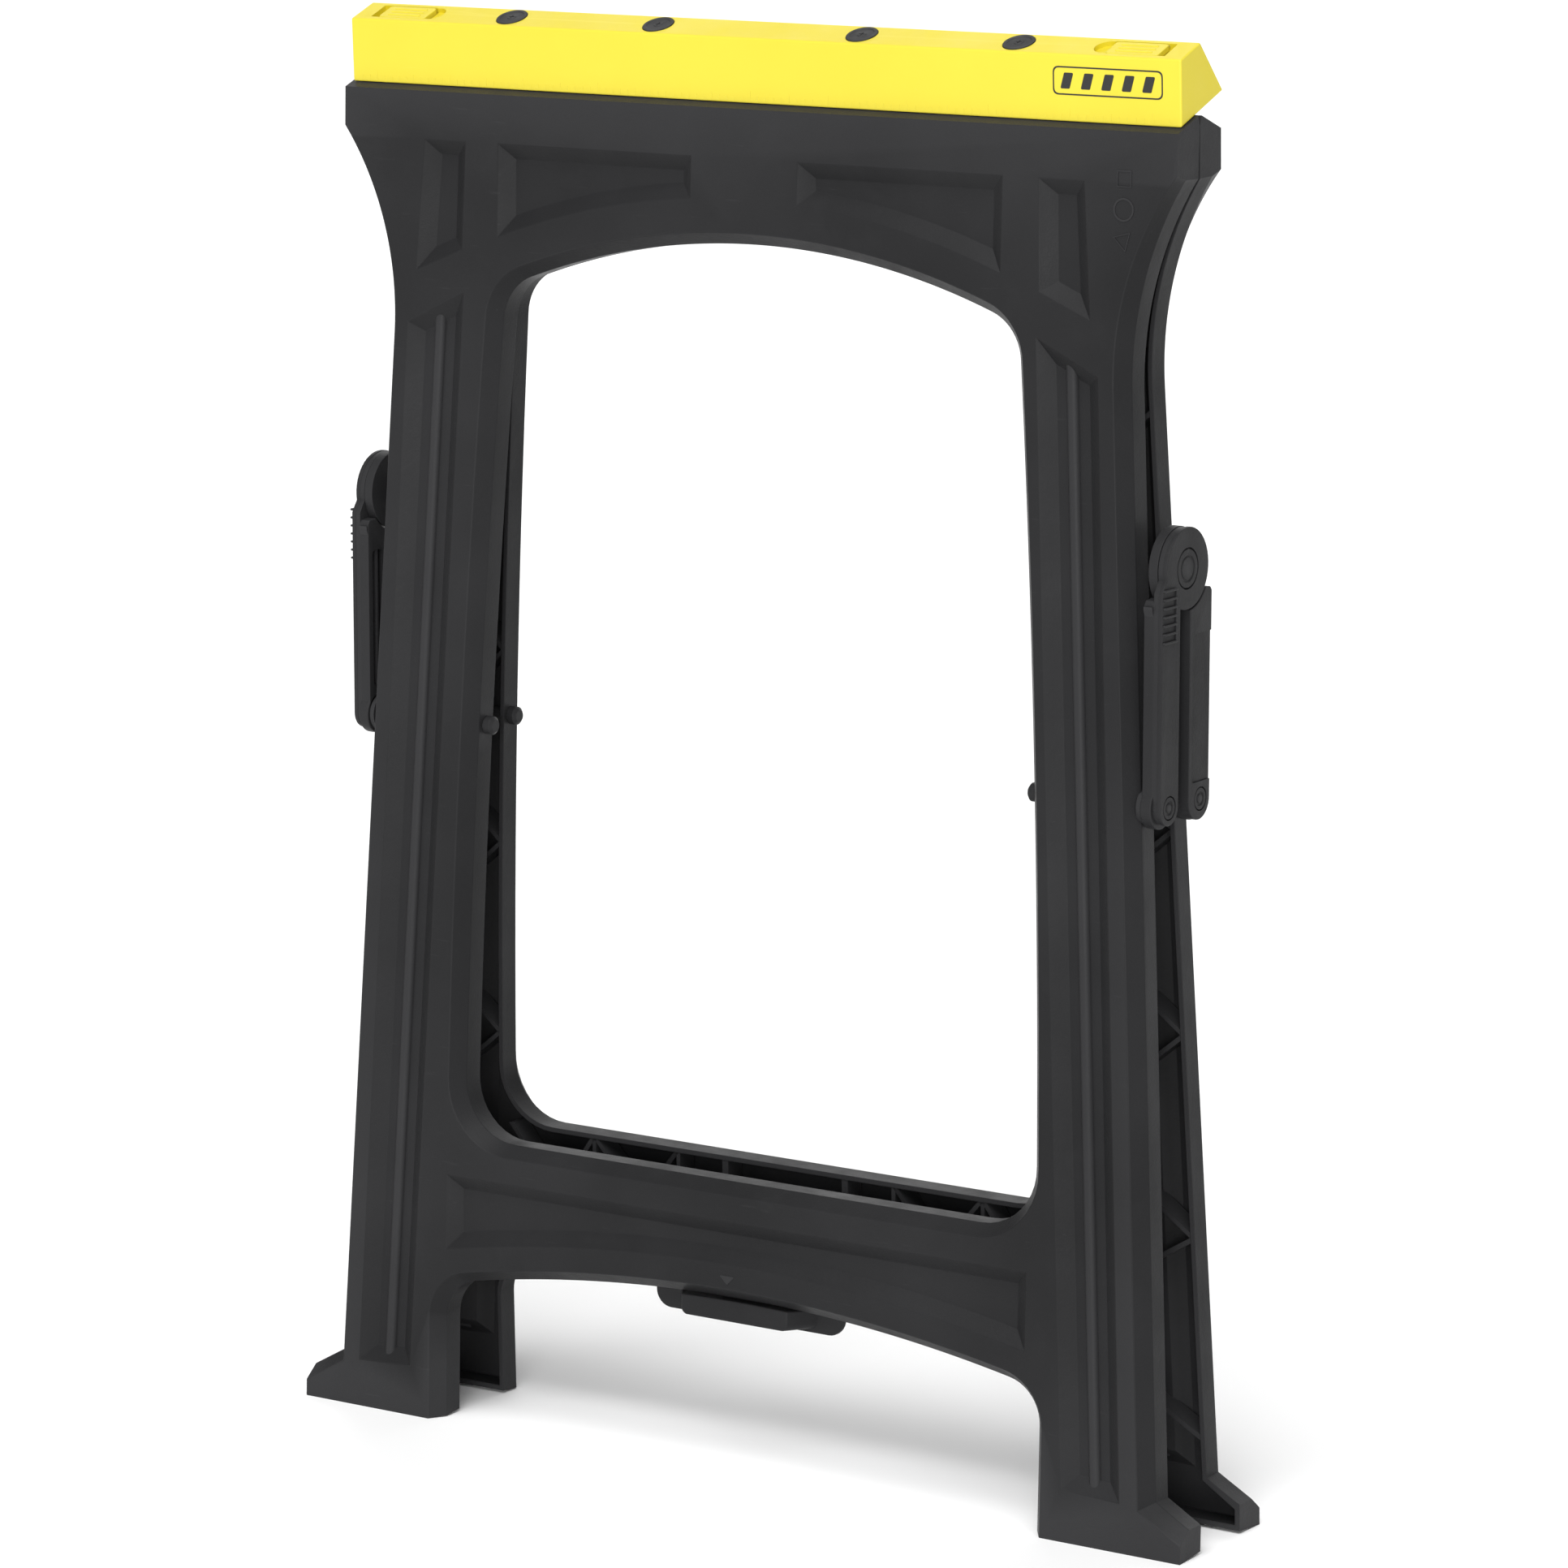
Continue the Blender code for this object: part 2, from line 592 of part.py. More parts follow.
def pivot_bosses():
    bm = bmesh.new()
    for side in (-1, 1):
        rod_along_x(bm, side * (post_outer(BRACE_DROP) - WALL / 2),
                    side * (BRACE_OUTER - BRACE_THICK - BOSS_GAP), BOSS_RADIUS, pivot_y(), -BRACE_DROP)
    return bm


def panel_bores():
    """Bores for the lower brace pivots, the hinge rod and the latch pin, and the latch's notch."""
    bm = bmesh.new()
    for side in (-1, 1):
        rod_along_x(bm, side * (WINDOW_HALF - 20 * MM), side * BRACE_OUTER, PIVOT_RADIUS + PIVOT_CLEARANCE,
                    pivot_y(), -BRACE_DROP, SMALL_STEPS)
    rod_half = HEADER_HALF - ROD_END_GAP + 2 * MM
    rod_along_x(bm, -rod_half, rod_half, ROD_RADIUS + ROD_CLEARANCE, steps=SMALL_STEPS)
    pin_half = LATCH_PIN_HALF + 2 * MM
    rod_along_x(bm, -pin_half, pin_half, LATCH_PIN_RADIUS + BORE_GAP, -LATCH_PIVOT_DEPTH,
                -LATCH_PIVOT_DROP, SMALL_STEPS)
    half = LATCH_LUG_HALF + LATCH_NOTCH_GAP
    block(bm, (-half, -LATCH_LUG_FRONT - 4 * MM, -UNDER_APEX - 12 * MM), (half, 3 * MM, -UNDER_APEX + 7 * MM))
    return bm


def beam_screw_bores():
    """Clearance bores through the header's top wall, square to the beam's seat."""
    bm = bmesh.new()
    for x in SCREW_PLACES:
        rod_along_v(bm, x, screw_u(), -WALL - 4 * MM, 4 * MM, SCREW_RADIUS + BORE_GAP, SMALL_STEPS)
    return bm


def leg_panel(name, frame, beam_frame, finish, own_barrels, other_barrels):
    panel = add_object(name, panel_surface(), bpy.data.collections[PARTS], frame, finish)
    wall = panel.modifiers.new("wall", "SOLIDIFY")
    wall.thickness = WALL
    wall.offset = -1
    wall.use_even_offset = True
    ribs = cutter(name + "_ribs", rib_lattice(), frame)
    core = cutter(name + "_core", rib_core(), frame)
    boolean(ribs, core, "INTERSECT", within=True)
    boolean(panel, ribs, "UNION")
    boolean(panel, cutter(name + "_ridges", post_ridges(), frame), "UNION")
    boolean(panel, cutter(name + "_facing", rim_facing(), frame), "DIFFERENCE")
    boolean(panel, cutter(name + "_notches", barrel_notches(other_barrels), frame), "DIFFERENCE")
    boolean(panel, cutter(name + "_roots", barrel_roots(own_barrels), frame), "UNION")
    boolean(panel, cutter(name + "_barrels", barrel_tubes(own_barrels), frame), "UNION")
    boolean(panel, cutter(name + "_bosses", pivot_bosses(), frame), "UNION")
    boolean(panel, cutter(name + "_bores", panel_bores(), frame), "DIFFERENCE")
    if beam_frame is not None:
        boolean(panel, cutter(name + "_screw_bores", beam_screw_bores(), beam_frame), "DIFFERENCE")
    return panel


def hinge_rod(frame, finish):
    bm = bmesh.new()
    half = HEADER_HALF - ROD_END_GAP
    rod_along_x(bm, -half, half, ROD_RADIUS, steps=SMALL_STEPS)
    add_object("hinge_rod", bm, bpy.data.collections[PARTS], frame, finish)


# ---------------------------------------------------------------- work beam
# Drawn in the beam frame: y along the seat toward the rear, z square to the seat.

def rod_along_v(bm, x, y, z0, z1, radius, steps=CIRCLE_STEPS):
    place = Matrix.Translation((x, y, (z0 + z1) / 2))
    bmesh.ops.create_cone(bm, cap_ends=True, segments=steps, radius1=radius, radius2=radius,
                          depth=z1 - z0, matrix=place)


def rod_along_y(bm, x, z, y0, y1, radius, steps=CIRCLE_STEPS):
    place = Matrix.Translation((x, (y0 + y1) / 2, z)) @ Matrix.Rotation(pi / 2, 4, "X")
    bmesh.ops.create_cone(bm, cap_ends=True, segments=steps, radius1=radius, radius2=radius,
                          depth=y1 - y0, matrix=place)


def screw_u():
    """Distance of the screws from the front edge of the beam's base, along the seat."""
    return (PANEL_DEPTH - BEAM_LEDGE - SCREW_DEPTH) / cos(SEAT_SLOPE)


def top_centre():
    return BEAM_TOP_START + BEAM_TOP_WIDE / 2


def beam_hollows():
    """One open-bottomed hollow between each two cross ribs."""
    bm = bmesh.new()
    front = BEAM_TOP_START / BEAM_HIGH
    rear = (BEAM_BASE_WIDE - BEAM_TOP_START - BEAM_TOP_WIDE) / BEAM_HIGH
    front_wall = BEAM_WALL * sqrt(1 + front ** 2)
    rear_wall = BEAM_WALL * sqrt(1 + rear ** 2)
    edges = [-BEAM_HALF + BEAM_WALL - RIB_THICK / 2, *BEAM_RIBS, BEAM_HALF - BEAM_WALL + RIB_THICK / 2]
    for x0, x1 in zip(edges, edges[1:]):
        at_end = max(abs(x0), abs(x1)) > STOP_INNER
        top = BEAM_HIGH - BEAM_WALL - (STOP_THICK + FIT_GAP if at_end else 0)
        low = -5 * MM
        outline = [(front_wall + front * low, low), (BEAM_BASE_WIDE - rear_wall - rear * low, low),
                   (BEAM_BASE_WIDE - rear_wall - rear * top, top), (front_wall + front * top, top)]
        prism_along_x(bm, outline, x0 + RIB_THICK / 2, x1 - RIB_THICK / 2)
    return bm


def stop_axis_x():
    return STOP_OUTER - STOP_THICK / 2


def beam_recesses():
    """Sinkings in the top for the pads and the end stops, and the bores for their pins."""
    bm = bmesh.new()
    middle = top_centre()
    for x in PAD_PLACES:
        rod_along_v(bm, x, middle, BEAM_HIGH - PAD_SUNK - FIT_GAP, BEAM_HIGH + 5 * MM, PAD_RADIUS + FIT_GAP)
    floor = BEAM_HIGH - STOP_THICK - FIT_GAP
    half = STOP_WIDE / 2 + FIT_GAP
    for side in (-1, 1):
        ends = sorted((side * (STOP_INNER - FIT_GAP), side * (STOP_OUTER + STOP_SLIT)))
        block(bm, (ends[0], middle - half, floor), (ends[1], middle + half, BEAM_HIGH + 5 * MM))
    return bm


def finger_recesses():
    bm = bmesh.new()
    for side in (-1, 1):
        rod_along_v(bm, side * FINGER_PLACE, top_centre(), BEAM_HIGH - FINGER_DEEP, BEAM_HIGH + 5 * MM,
                    FINGER_RADIUS)
    return bm


def stop_pin_bores():
    bm = bmesh.new()
    middle = top_centre()
    reach = STOP_WIDE / 2 + STOP_PIN_REACH + FIT_GAP
    for side in (-1, 1):
        rod_along_y(bm, side * stop_axis_x(), BEAM_HIGH - STOP_THICK / 2, middle - reach, middle + reach,
                    STOP_PIN_RADIUS + BORE_GAP, SMALL_STEPS)
    return bm


def screw_bosses():
    bm = bmesh.new()
    for x in SCREW_PLACES:
        rod_along_v(bm, x, screw_u(), 0.2 * MM, SCREW_LONG, SCREW_BOSS_RADIUS, SMALL_STEPS)
    return bm


def beam_section():
    return [(0, 0), (BEAM_BASE_WIDE, 0), (BEAM_TOP_START + BEAM_TOP_WIDE, BEAM_HIGH), (BEAM_TOP_START, BEAM_HIGH)]


def top_beam(frame, finish):
    bm = bmesh.new()
    prism_along_x(bm, beam_section(), -BEAM_HALF, BEAM_HALF)
    beam = add_object("top_beam", bm, bpy.data.collections[PARTS], frame, finish)
    boolean(beam, cutter("beam_hollows", beam_hollows(), frame), "DIFFERENCE")
    bosses = cutter("beam_bosses", screw_bosses(), frame)
    bm = bmesh.new()
    prism_along_x(bm, beam_section(), -BEAM_HALF + 1 * MM, BEAM_HALF - 1 * MM)
    bmesh.ops.translate(bm, verts=bm.verts, vec=(0, 1.4 * MM, 0))
    boolean(bosses, cutter("beam_core", bm, frame), "INTERSECT")
    boolean(beam, bosses, "UNION")
    bm = bmesh.new()
    for x in SCREW_PLACES:
        rod_along_v(bm, x, screw_u(), -5 * MM, SCREW_LONG - 2.5 * MM, SCREW_RADIUS + BORE_GAP, SMALL_STEPS)
    boolean(beam, cutter("beam_bores", bm, frame), "DIFFERENCE")
    boolean(beam, cutter("beam_recesses", beam_recesses(), frame), "DIFFERENCE")
    boolean(beam, cutter("beam_fingers", finger_recesses(), frame), "DIFFERENCE")
    boolean(beam, cutter("beam_pin_bores", stop_pin_bores(), frame), "DIFFERENCE")


def beam_pads(frame, finish):
    for i, x in enumerate(PAD_PLACES):
        bm = bmesh.new()
        rod_along_v(bm, x, top_centre(), BEAM_HIGH - PAD_SUNK, BEAM_HIGH + PAD_PROUD, PAD_RADIUS)
        add_object(f"beam_pad_{i + 1}", bm, bpy.data.collections[PARTS], frame, finish)


def beam_screws(frame, finish):
    head_top = -2 * FIT_GAP - WALL
    for i, x in enumerate(SCREW_PLACES):
        bm = bmesh.new()
        outline = [(SCREW_HEAD_RADIUS, head_top - SCREW_HEAD_THICK), (SCREW_HEAD_RADIUS, head_top),
                   (SCREW_RADIUS, head_top), (SCREW_RADIUS, SCREW_LONG - 3.2 * MM)]
        turned(bm, outline, x, screw_u(), SMALL_STEPS)
        add_object(f"beam_screw_{i + 1}", bm, bpy.data.collections[PARTS], frame, finish)


def turned(bm, outline, x, y, steps):
    """A solid of revolution about the beam frame's z at (x, y), from (radius, height) pairs."""
    profile = [(0, outline[0][1]), *outline, (0, outline[-1][1])]
    verts = [bm.verts.new((x + radius, y, height)) for radius, height in profile]
    edges = [bm.edges.new(pair) for pair in zip(verts, verts[1:])]
    bmesh.ops.spin(bm, geom=verts + edges, cent=(x, y, 0), axis=(0, 0, 1), angle=2 * pi, steps=steps)
    bmesh.ops.remove_doubles(bm, verts=bm.verts, dist=1e-6)


def end_stops(frame, plate_finish, pin_finish):
    middle = top_centre()
    axis_z = BEAM_HIGH - STOP_THICK / 2
    bore = STOP_PIN_RADIUS + BORE_GAP
    for side, label in ((-1, "left"), (1, "right")):
        axis = frame_empty(f"end_stop_{label}_axis", Matrix.Translation((side * stop_axis_x(), middle, axis_z)),
                           frame)
        bm = bmesh.new()
        half = STOP_THICK / 2
        length = STOP_OUTER - STOP_INNER - half
        round_end = [(half * cos(a), half * sin(a)) for a in (pi / 2 - pi * i / 8 for i in range(9))]
        outline = [(side * x, z) for x, z in round_end + [(-length, -half), (-length, half)]]
        face = bm.faces.new([bm.verts.new((x, -STOP_WIDE / 2, z)) for x, z in outline])
        pulled = bmesh.ops.extrude_face_region(bm, geom=[face])["geom"]
        verts = [item for item in pulled if isinstance(item, bmesh.types.BMVert)]
        bmesh.ops.translate(bm, verts=verts, vec=(0, STOP_WIDE, 0))
        plate = add_object(f"end_stop_{label}", bm, bpy.data.collections[PARTS], axis, plate_finish)
        bm = bmesh.new()
        rod_along_y(bm, 0, 0, -STOP_WIDE, STOP_WIDE, bore, SMALL_STEPS)
        boolean(plate, cutter(f"end_stop_{label}_bore", bm, axis), "DIFFERENCE")
        bm = bmesh.new()
        reach = STOP_WIDE / 2 + STOP_PIN_REACH
        rod_along_y(bm, 0, 0, -reach, reach, STOP_PIN_RADIUS, SMALL_STEPS)
        add_object(f"end_stop_pin_{label}", bm, bpy.data.collections[PARTS], axis, pin_finish)


# ---------------------------------------------------------------- side braces
# Drawn in world directions with x outward on the right side, mirrored for the left.

def half_spread(lean):
    """Distance of each lower pivot from the middle plane when the panels lean this much."""
    return BRACE_DROP * sin(lean) + (BRACE_INSET + PARTING_GAP / 2) * cos(lean)


def arm_length():
    return half_spread(OPEN_LEAN)


def knuckle_rise():
    """Height of the knuckle over the lower pivots, folded."""
    return sqrt(arm_length() ** 2 - half_spread(FOLDED_LEAN) ** 2)


def arm_outline(inner_edge, toward):
    """Full-thickness bar in (y, z) from the knuckle, on the side `toward` of it."""
    reach = EYE_RADIUS + EYE_CLEARANCE
    pivot, low = half_spread(FOLDED_LEAN), -knuckle_rise()
    outer, inner = pivot + ARM_OUTER_EDGE, pivot - inner_edge
    start = atan2(-sqrt(reach ** 2 - inner ** 2), inner)
    stop = asin(-SHOULDER_DROP / reach)
    points = arc(0, 0, reach, start, stop, 6)
    points += [(outer, -SHOULDER_DROP - SHOULDER_CHAMFER), (outer, low)]
    radius = (ARM_OUTER_EDGE + inner_edge) / 2
    points += arc(outer - radius, low, radius, 0, -pi, 10)[1:]
    return [(toward * y, z) for y, z in points]


def arm(name, toward, side, axis, offset, layer, inner_edge, finish):
    """One brace arm: bar, eye and neck, with its two bores, in the frame of its joint."""
    inside, outside = BRACE_OUTER - BRACE_THICK, BRACE_OUTER
    bm = bmesh.new()
    prism_along_x(bm, arm_outline(inner_edge, toward), inside, outside)
    eye = bmesh.new()
    rod_along_x(eye, layer[0], layer[1], EYE_RADIUS, steps=CIRCLE_STEPS + 8)
    neck = bmesh.new()
    pivot, reach = half_spread(FOLDED_LEAN), EYE_RADIUS + EYE_CLEARANCE
    low = -reach - 3 * MM
    shape = [(toward * (pivot - inner_edge + 1.5 * MM), low), (toward * (pivot + ARM_OUTER_EDGE - 2 * MM), low),
             (toward * (EYE_RADIUS - 1.5 * MM), -SHOULDER_DROP), (toward * 5 * MM, -SHOULDER_DROP)]
    prism_along_x(neck, shape, layer[0] + 0.02 * MM, layer[1] - 0.02 * MM)
    boss = bmesh.new()
    rod_along_x(boss, inside + 0.1 * MM, inside + END_BOSS_THICK, END_BOSS_RADIUS, toward * pivot, -knuckle_rise())
    bores = bmesh.new()
    rod_along_x(bores, inside - 5 * MM, outside + 5 * MM, KNUCKLE_RADIUS + BORE_GAP, steps=SMALL_STEPS + 4)
    pins = bmesh.new()
    rod_along_x(pins, inside - 5 * MM, outside + 5 * MM, PIVOT_RADIUS + PIVOT_CLEARANCE,
                toward * pivot, -knuckle_rise(), SMALL_STEPS)
    heads = bmesh.new()
    floor = outside - HEAD_DEEP
    if toward < 0:
        rod_along_x(heads, floor, outside + 5 * MM, KNUCKLE_HEAD_RADIUS + BORE_GAP)
    rod_along_x(heads, floor, outside + 5 * MM, PIVOT_HEAD_RADIUS + BORE_GAP, toward * pivot, -knuckle_rise())
    place = Matrix.Diagonal((side, 1, 1, 1)) @ Matrix.Translation((0, *offset))
    for shape_mesh in (bm, eye, neck, boss, bores, pins, heads):
        bmesh.ops.transform(shape_mesh, matrix=place, verts=shape_mesh.verts)
    body = add_object(name, bm, bpy.data.collections[PARTS], axis, finish)
    boolean(body, cutter(name + "_neck", neck, axis), "UNION")
    boolean(body, cutter(name + "_eye", eye, axis), "UNION")
    boolean(body, cutter(name + "_boss", boss, axis), "UNION")
    if toward < 0:
        boolean(body, cutter(name + "_grip", thumb_grip(side, offset), axis), "UNION")
    boolean(body, cutter(name + "_bores", bores, axis), "DIFFERENCE")
    boolean(body, cutter(name + "_pins", pins, axis), "DIFFERENCE")
    boolean(body, cutter(name + "_heads", heads, axis), "DIFFERENCE")


def thumb_grip(side, offset):
    """Small ribs on the outer face, along the front edge just below the disc."""
    bm = bmesh.new()
    edge = -(half_spread(FOLDED_LEAN) + ARM_OUTER_EDGE)
    for i in range(GRIP_RIBS):
        high = -GRIP_START - i * GRIP_PITCH
        outline = [(BRACE_OUTER - 1 * MM, high), (BRACE_OUTER + GRIP_PROUD, high - 0.6 * MM),
                   (BRACE_OUTER + GRIP_PROUD, high - GRIP_RIB_HIGH + 0.6 * MM),
                   (BRACE_OUTER - 1 * MM, high - GRIP_RIB_HIGH)]
        face = bm.faces.new([bm.verts.new((x, edge + 0.2 * MM, z)) for x, z in outline])
        pulled = bmesh.ops.extrude_face_region(bm, geom=[face])["geom"]
        verts = [item for item in pulled if isinstance(item, bmesh.types.BMVert)]
        bmesh.ops.translate(bm, verts=verts, vec=(0, GRIP_WIDE, 0))
    place = Matrix.Diagonal((side, 1, 1, 1)) @ Matrix.Translation((0, *offset))
    bmesh.ops.transform(bm, matrix=place, verts=bm.verts)
    return bm


def turned_along_x(bm, profile, y, z, steps):
    """A solid of revolution about X at (y, z), from (x, radius) pairs."""
    profile = [(profile[0][0], 0), *profile, (profile[-1][0], 0)]
    verts = [bm.verts.new((x, y, z + radius)) for x, radius in profile]
    edges = [bm.edges.new(pair) for pair in zip(verts, verts[1:])]
    bmesh.ops.spin(bm, geom=verts + edges, cent=(0, y, z), axis=(1, 0, 0), angle=2 * pi, steps=steps)
    bmesh.ops.remove_doubles(bm, verts=bm.verts, dist=1e-6)


def pin_object(name, profile, side, y, z, parent, finish, steps=CIRCLE_STEPS):
    bm = bmesh.new()
    turned_along_x(bm, profile, y, z, steps)
    bmesh.ops.transform(bm, matrix=Matrix.Diagonal((side, 1, 1, 1)), verts=bm.verts)
    add_object(name, bm, bpy.data.collections[PARTS], parent, finish)


def knuckle_profile():
    inside, outside = BRACE_OUTER - BRACE_THICK, BRACE_OUTER
    return [(inside - FIT_GAP - 3 * MM, KNUCKLE_INNER_RADIUS), (inside - FIT_GAP, KNUCKLE_INNER_RADIUS),
            (inside - FIT_GAP, KNUCKLE_RADIUS), (outside - HEAD_DEEP + FIT_GAP, KNUCKLE_RADIUS),
            (outside - HEAD_DEEP + FIT_GAP, KNUCKLE_HEAD_RADIUS), (outside, KNUCKLE_HEAD_RADIUS)]


def shank_profile(side):
    """Lower pivot inside the panel, with its snap nub in the window, on one side of the panel's frame."""
    flank = window_side(BRACE_DROP) + side * WINDOW_SHIFT
    return [(flank - PIVOT_NUB, PIVOT_RADIUS), (flank - PIVOT_NUB + 2 * MM, PIVOT_NUB_RADIUS),
            (flank - 0.6 * MM, PIVOT_NUB_RADIUS), (flank - 0.6 * MM, PIVOT_RADIUS)]


def head_profile():
    return [(BRACE_OUTER - HEAD_DEEP + FIT_GAP, PIVOT_RADIUS),
            (BRACE_OUTER - HEAD_DEEP + FIT_GAP, PIVOT_HEAD_RADIUS), (BRACE_OUTER, PIVOT_HEAD_RADIUS)]


def braces(front, rear, hinge_height, black):
    drop = BRACE_DROP * cos(FOLDED_LEAN) - (BRACE_INSET + PARTING_GAP / 2) * sin(FOLDED_LEAN)
    pivot, rise = half_spread(FOLDED_LEAN), knuckle_rise()
    low = hinge_height - drop
    lower_axis = frame_empty("front_arm_axis", Matrix.Translation((0, -pivot, low)))
    knuckle_axis = frame_empty("knuckle_axis", Matrix.Translation((0, 0, low + rise)))
    inside, outside = BRACE_OUTER - BRACE_THICK, BRACE_OUTER
    for side, label in ((-1, "left"), (1, "right")):
        arm(f"front_arm_{label}", -1, side, lower_axis, (pivot, rise), (outside - EYE_THICK, outside),
            FRONT_ARM_INNER_EDGE, black)
        arm(f"rear_arm_{label}", 1, side, knuckle_axis, (0, 0), (inside, inside + EYE_THICK),
            REAR_ARM_INNER_EDGE, black)
        pin_object(f"knuckle_pin_{label}", knuckle_profile(), side, 0, 0, knuckle_axis, black)
        pin_object(f"front_pivot_pin_{label}", shank_profile(side) + head_profile(), side, pivot_y(),
                   -BRACE_DROP, front, black, SMALL_STEPS + 4)
        shank_end = (inside - BOSS_GAP - PIVOT_STUB_GAP, PIVOT_RADIUS)
        pin_object(f"rear_pivot_pin_{label}", shank_profile(-side) + [shank_end], -side, pivot_y(),
                   -BRACE_DROP, rear, black, SMALL_STEPS + 4)
        pin_object(f"rear_pivot_head_{label}", [(inside + FIT_GAP, PIVOT_RADIUS), *head_profile()], side,
                   pivot, -rise, knuckle_axis, black, SMALL_STEPS + 4)


# ---------------------------------------------------------------- latch
# Drawn in the front panel's frame, moved to the frame of its own pivot.

def under_drop(x):
    """Drop of the underside arch at the rim, from the hinge axis."""
    return UNDER_APEX + UNDER_RADIUS - sqrt(UNDER_RADIUS ** 2 - x ** 2) + HINGE_ABOVE_TOP


def latch_outline(half, low, corner, depth):
    """A closed loop below the arch: arched top, rounded lower corners."""
    low = low + HINGE_ABOVE_TOP
    top = [(half * (1 - i / 4), under_drop(half * (1 - i / 4)) + LATCH_ARCH_GAP) for i in range(9)]
    points = top + [(-x, drop) for x, drop in
                    reversed(arc(half - corner, low - corner, corner, pi / 2, 0, 4))]
    points += arc(half - corner, low - corner, corner, pi / 2, 0, 4)
    return [(x, -depth, -drop) for x, drop in points]


def latch_body(axis, finish):
    bm = bmesh.new()
    back = LATCH_BACK
    rings = [closed_loop(bm, latch_outline(LATCH_HALF, LATCH_LOW, LATCH_CORNER, depth - PARTING_GAP / 2))
             for depth in (-back - LATCH_PLATE, -back)]
    bmesh.ops.bridge_loops(bm, edges=rings[0] + rings[1])
    bmesh.ops.holes_fill(bm, edges=bm.edges, sides=0)
    grip = bmesh.new()
    rings = [closed_loop(grip, latch_outline(half, GRIP_LOW, 4 * MM, depth)) for half, depth in
             ((GRIP_BACK_HALF, -back - 1 * MM), (GRIP_FRONT_HALF, GRIP_FRONT_DEPTH))]
    bmesh.ops.bridge_loops(grip, edges=rings[0] + rings[1])
    bmesh.ops.holes_fill(grip, edges=grip.edges, sides=0)
    hub = bmesh.new()
    rod_along_x(hub, -LATCH_HUB_HALF, LATCH_HUB_HALF, LATCH_HUB_RADIUS, -LATCH_PIVOT_DEPTH,
                -LATCH_PIVOT_DROP, SMALL_STEPS + 4)
    lug = bmesh.new()
    block(lug, (-LATCH_LUG_HALF, -LATCH_LUG_FRONT, -UNDER_APEX - 8 * MM),
          (LATCH_LUG_HALF, -LATCH_LUG_BACK, -LATCH_PIVOT_DROP))
    hook = bmesh.new()
    high = -LATCH_PIVOT_DROP + LATCH_HUB_RADIUS - 0.4 * MM
    outline = [(-LATCH_PIVOT_DEPTH, high - HOOK_THICK), (HOOK_REACH, high - HOOK_THICK),
               (HOOK_REACH, high + HOOK_NOSE), (HOOK_REACH - 3 * MM, high + HOOK_NOSE),
               (HOOK_REACH - 3 * MM, high), (-LATCH_PIVOT_DEPTH, high)]
    prism_along_x(hook, outline, -HOOK_HALF, HOOK_HALF)
    bore = bmesh.new()
    rod_along_x(bore, -LATCH_PIN_HALF, LATCH_PIN_HALF, LATCH_PIN_RADIUS + BORE_GAP, -LATCH_PIVOT_DEPTH,
                -LATCH_PIVOT_DROP, SMALL_STEPS)
    place = Matrix.Translation((0, LATCH_PIVOT_DEPTH, LATCH_PIVOT_DROP))
    for shape in (bm, grip, hub, lug, hook, bore):
        bmesh.ops.transform(shape, matrix=place, verts=shape.verts)
    body = add_object("latch", bm, bpy.data.collections[PARTS], axis, finish)
    boolean(body, cutter("latch_grip", grip, axis), "UNION")
    boolean(body, cutter("latch_lug", lug, axis), "UNION")
    boolean(body, cutter("latch_hub", hub, axis), "UNION")
    boolean(body, cutter("latch_hook", hook, axis), "UNION")
    boolean(body, cutter("latch_bore", bore, axis), "DIFFERENCE")


def latch_spring(axis, finish):
    """A coil round the latch's hub, its outer end turned out toward the panel."""
    bm = bmesh.new()
    radius = LATCH_HUB_RADIUS + SPRING_GAP + SPRING_WIRE
    place = Matrix.Translation((SPRING_START, 0, radius))
    wire = bmesh.ops.create_circle(bm, cap_ends=True, segments=6, radius=SPRING_WIRE,
                                   matrix=place @ Matrix.Rotation(pi / 2, 4, "X"))["verts"]
    steps = SPRING_TURNS * 12
    spun = bmesh.ops.spin(bm, geom=list(wire) + list(bm.edges) + list(bm.faces), cent=(0, 0, 0),
                          axis=(1, 0, 0), dvec=(SPRING_PITCH / 12, 0, 0), angle=2 * pi * SPRING_TURNS,
                          steps=steps, use_duplicate=False)["geom_last"]
    end = [item for item in spun if isinstance(item, bmesh.types.BMFace)]
    pulled = bmesh.ops.extrude_face_region(bm, geom=end)["geom"]
    verts = [item for item in pulled if isinstance(item, bmesh.types.BMVert)]
    bmesh.ops.translate(bm, verts=verts, vec=(0, -6 * MM, 0))
    bmesh.ops.delete(bm, geom=end, context="FACES_ONLY")
    add_object("latch_spring", bm, bpy.data.collections[PARTS], axis, finish)


def latch(front, black, steel):
    axis = frame_empty("latch_axis", Matrix.Translation((0, -LATCH_PIVOT_DEPTH, -LATCH_PIVOT_DROP)), front)
    latch_body(axis, black)
    bm = bmesh.new()
    rod_along_x(bm, -LATCH_PIN_HALF, LATCH_PIN_HALF, LATCH_PIN_RADIUS, steps=SMALL_STEPS)
    add_object("latch_pin", bm, bpy.data.collections[PARTS], axis, steel)
    latch_spring(axis, steel)


# ---------------------------------------------------------------- build

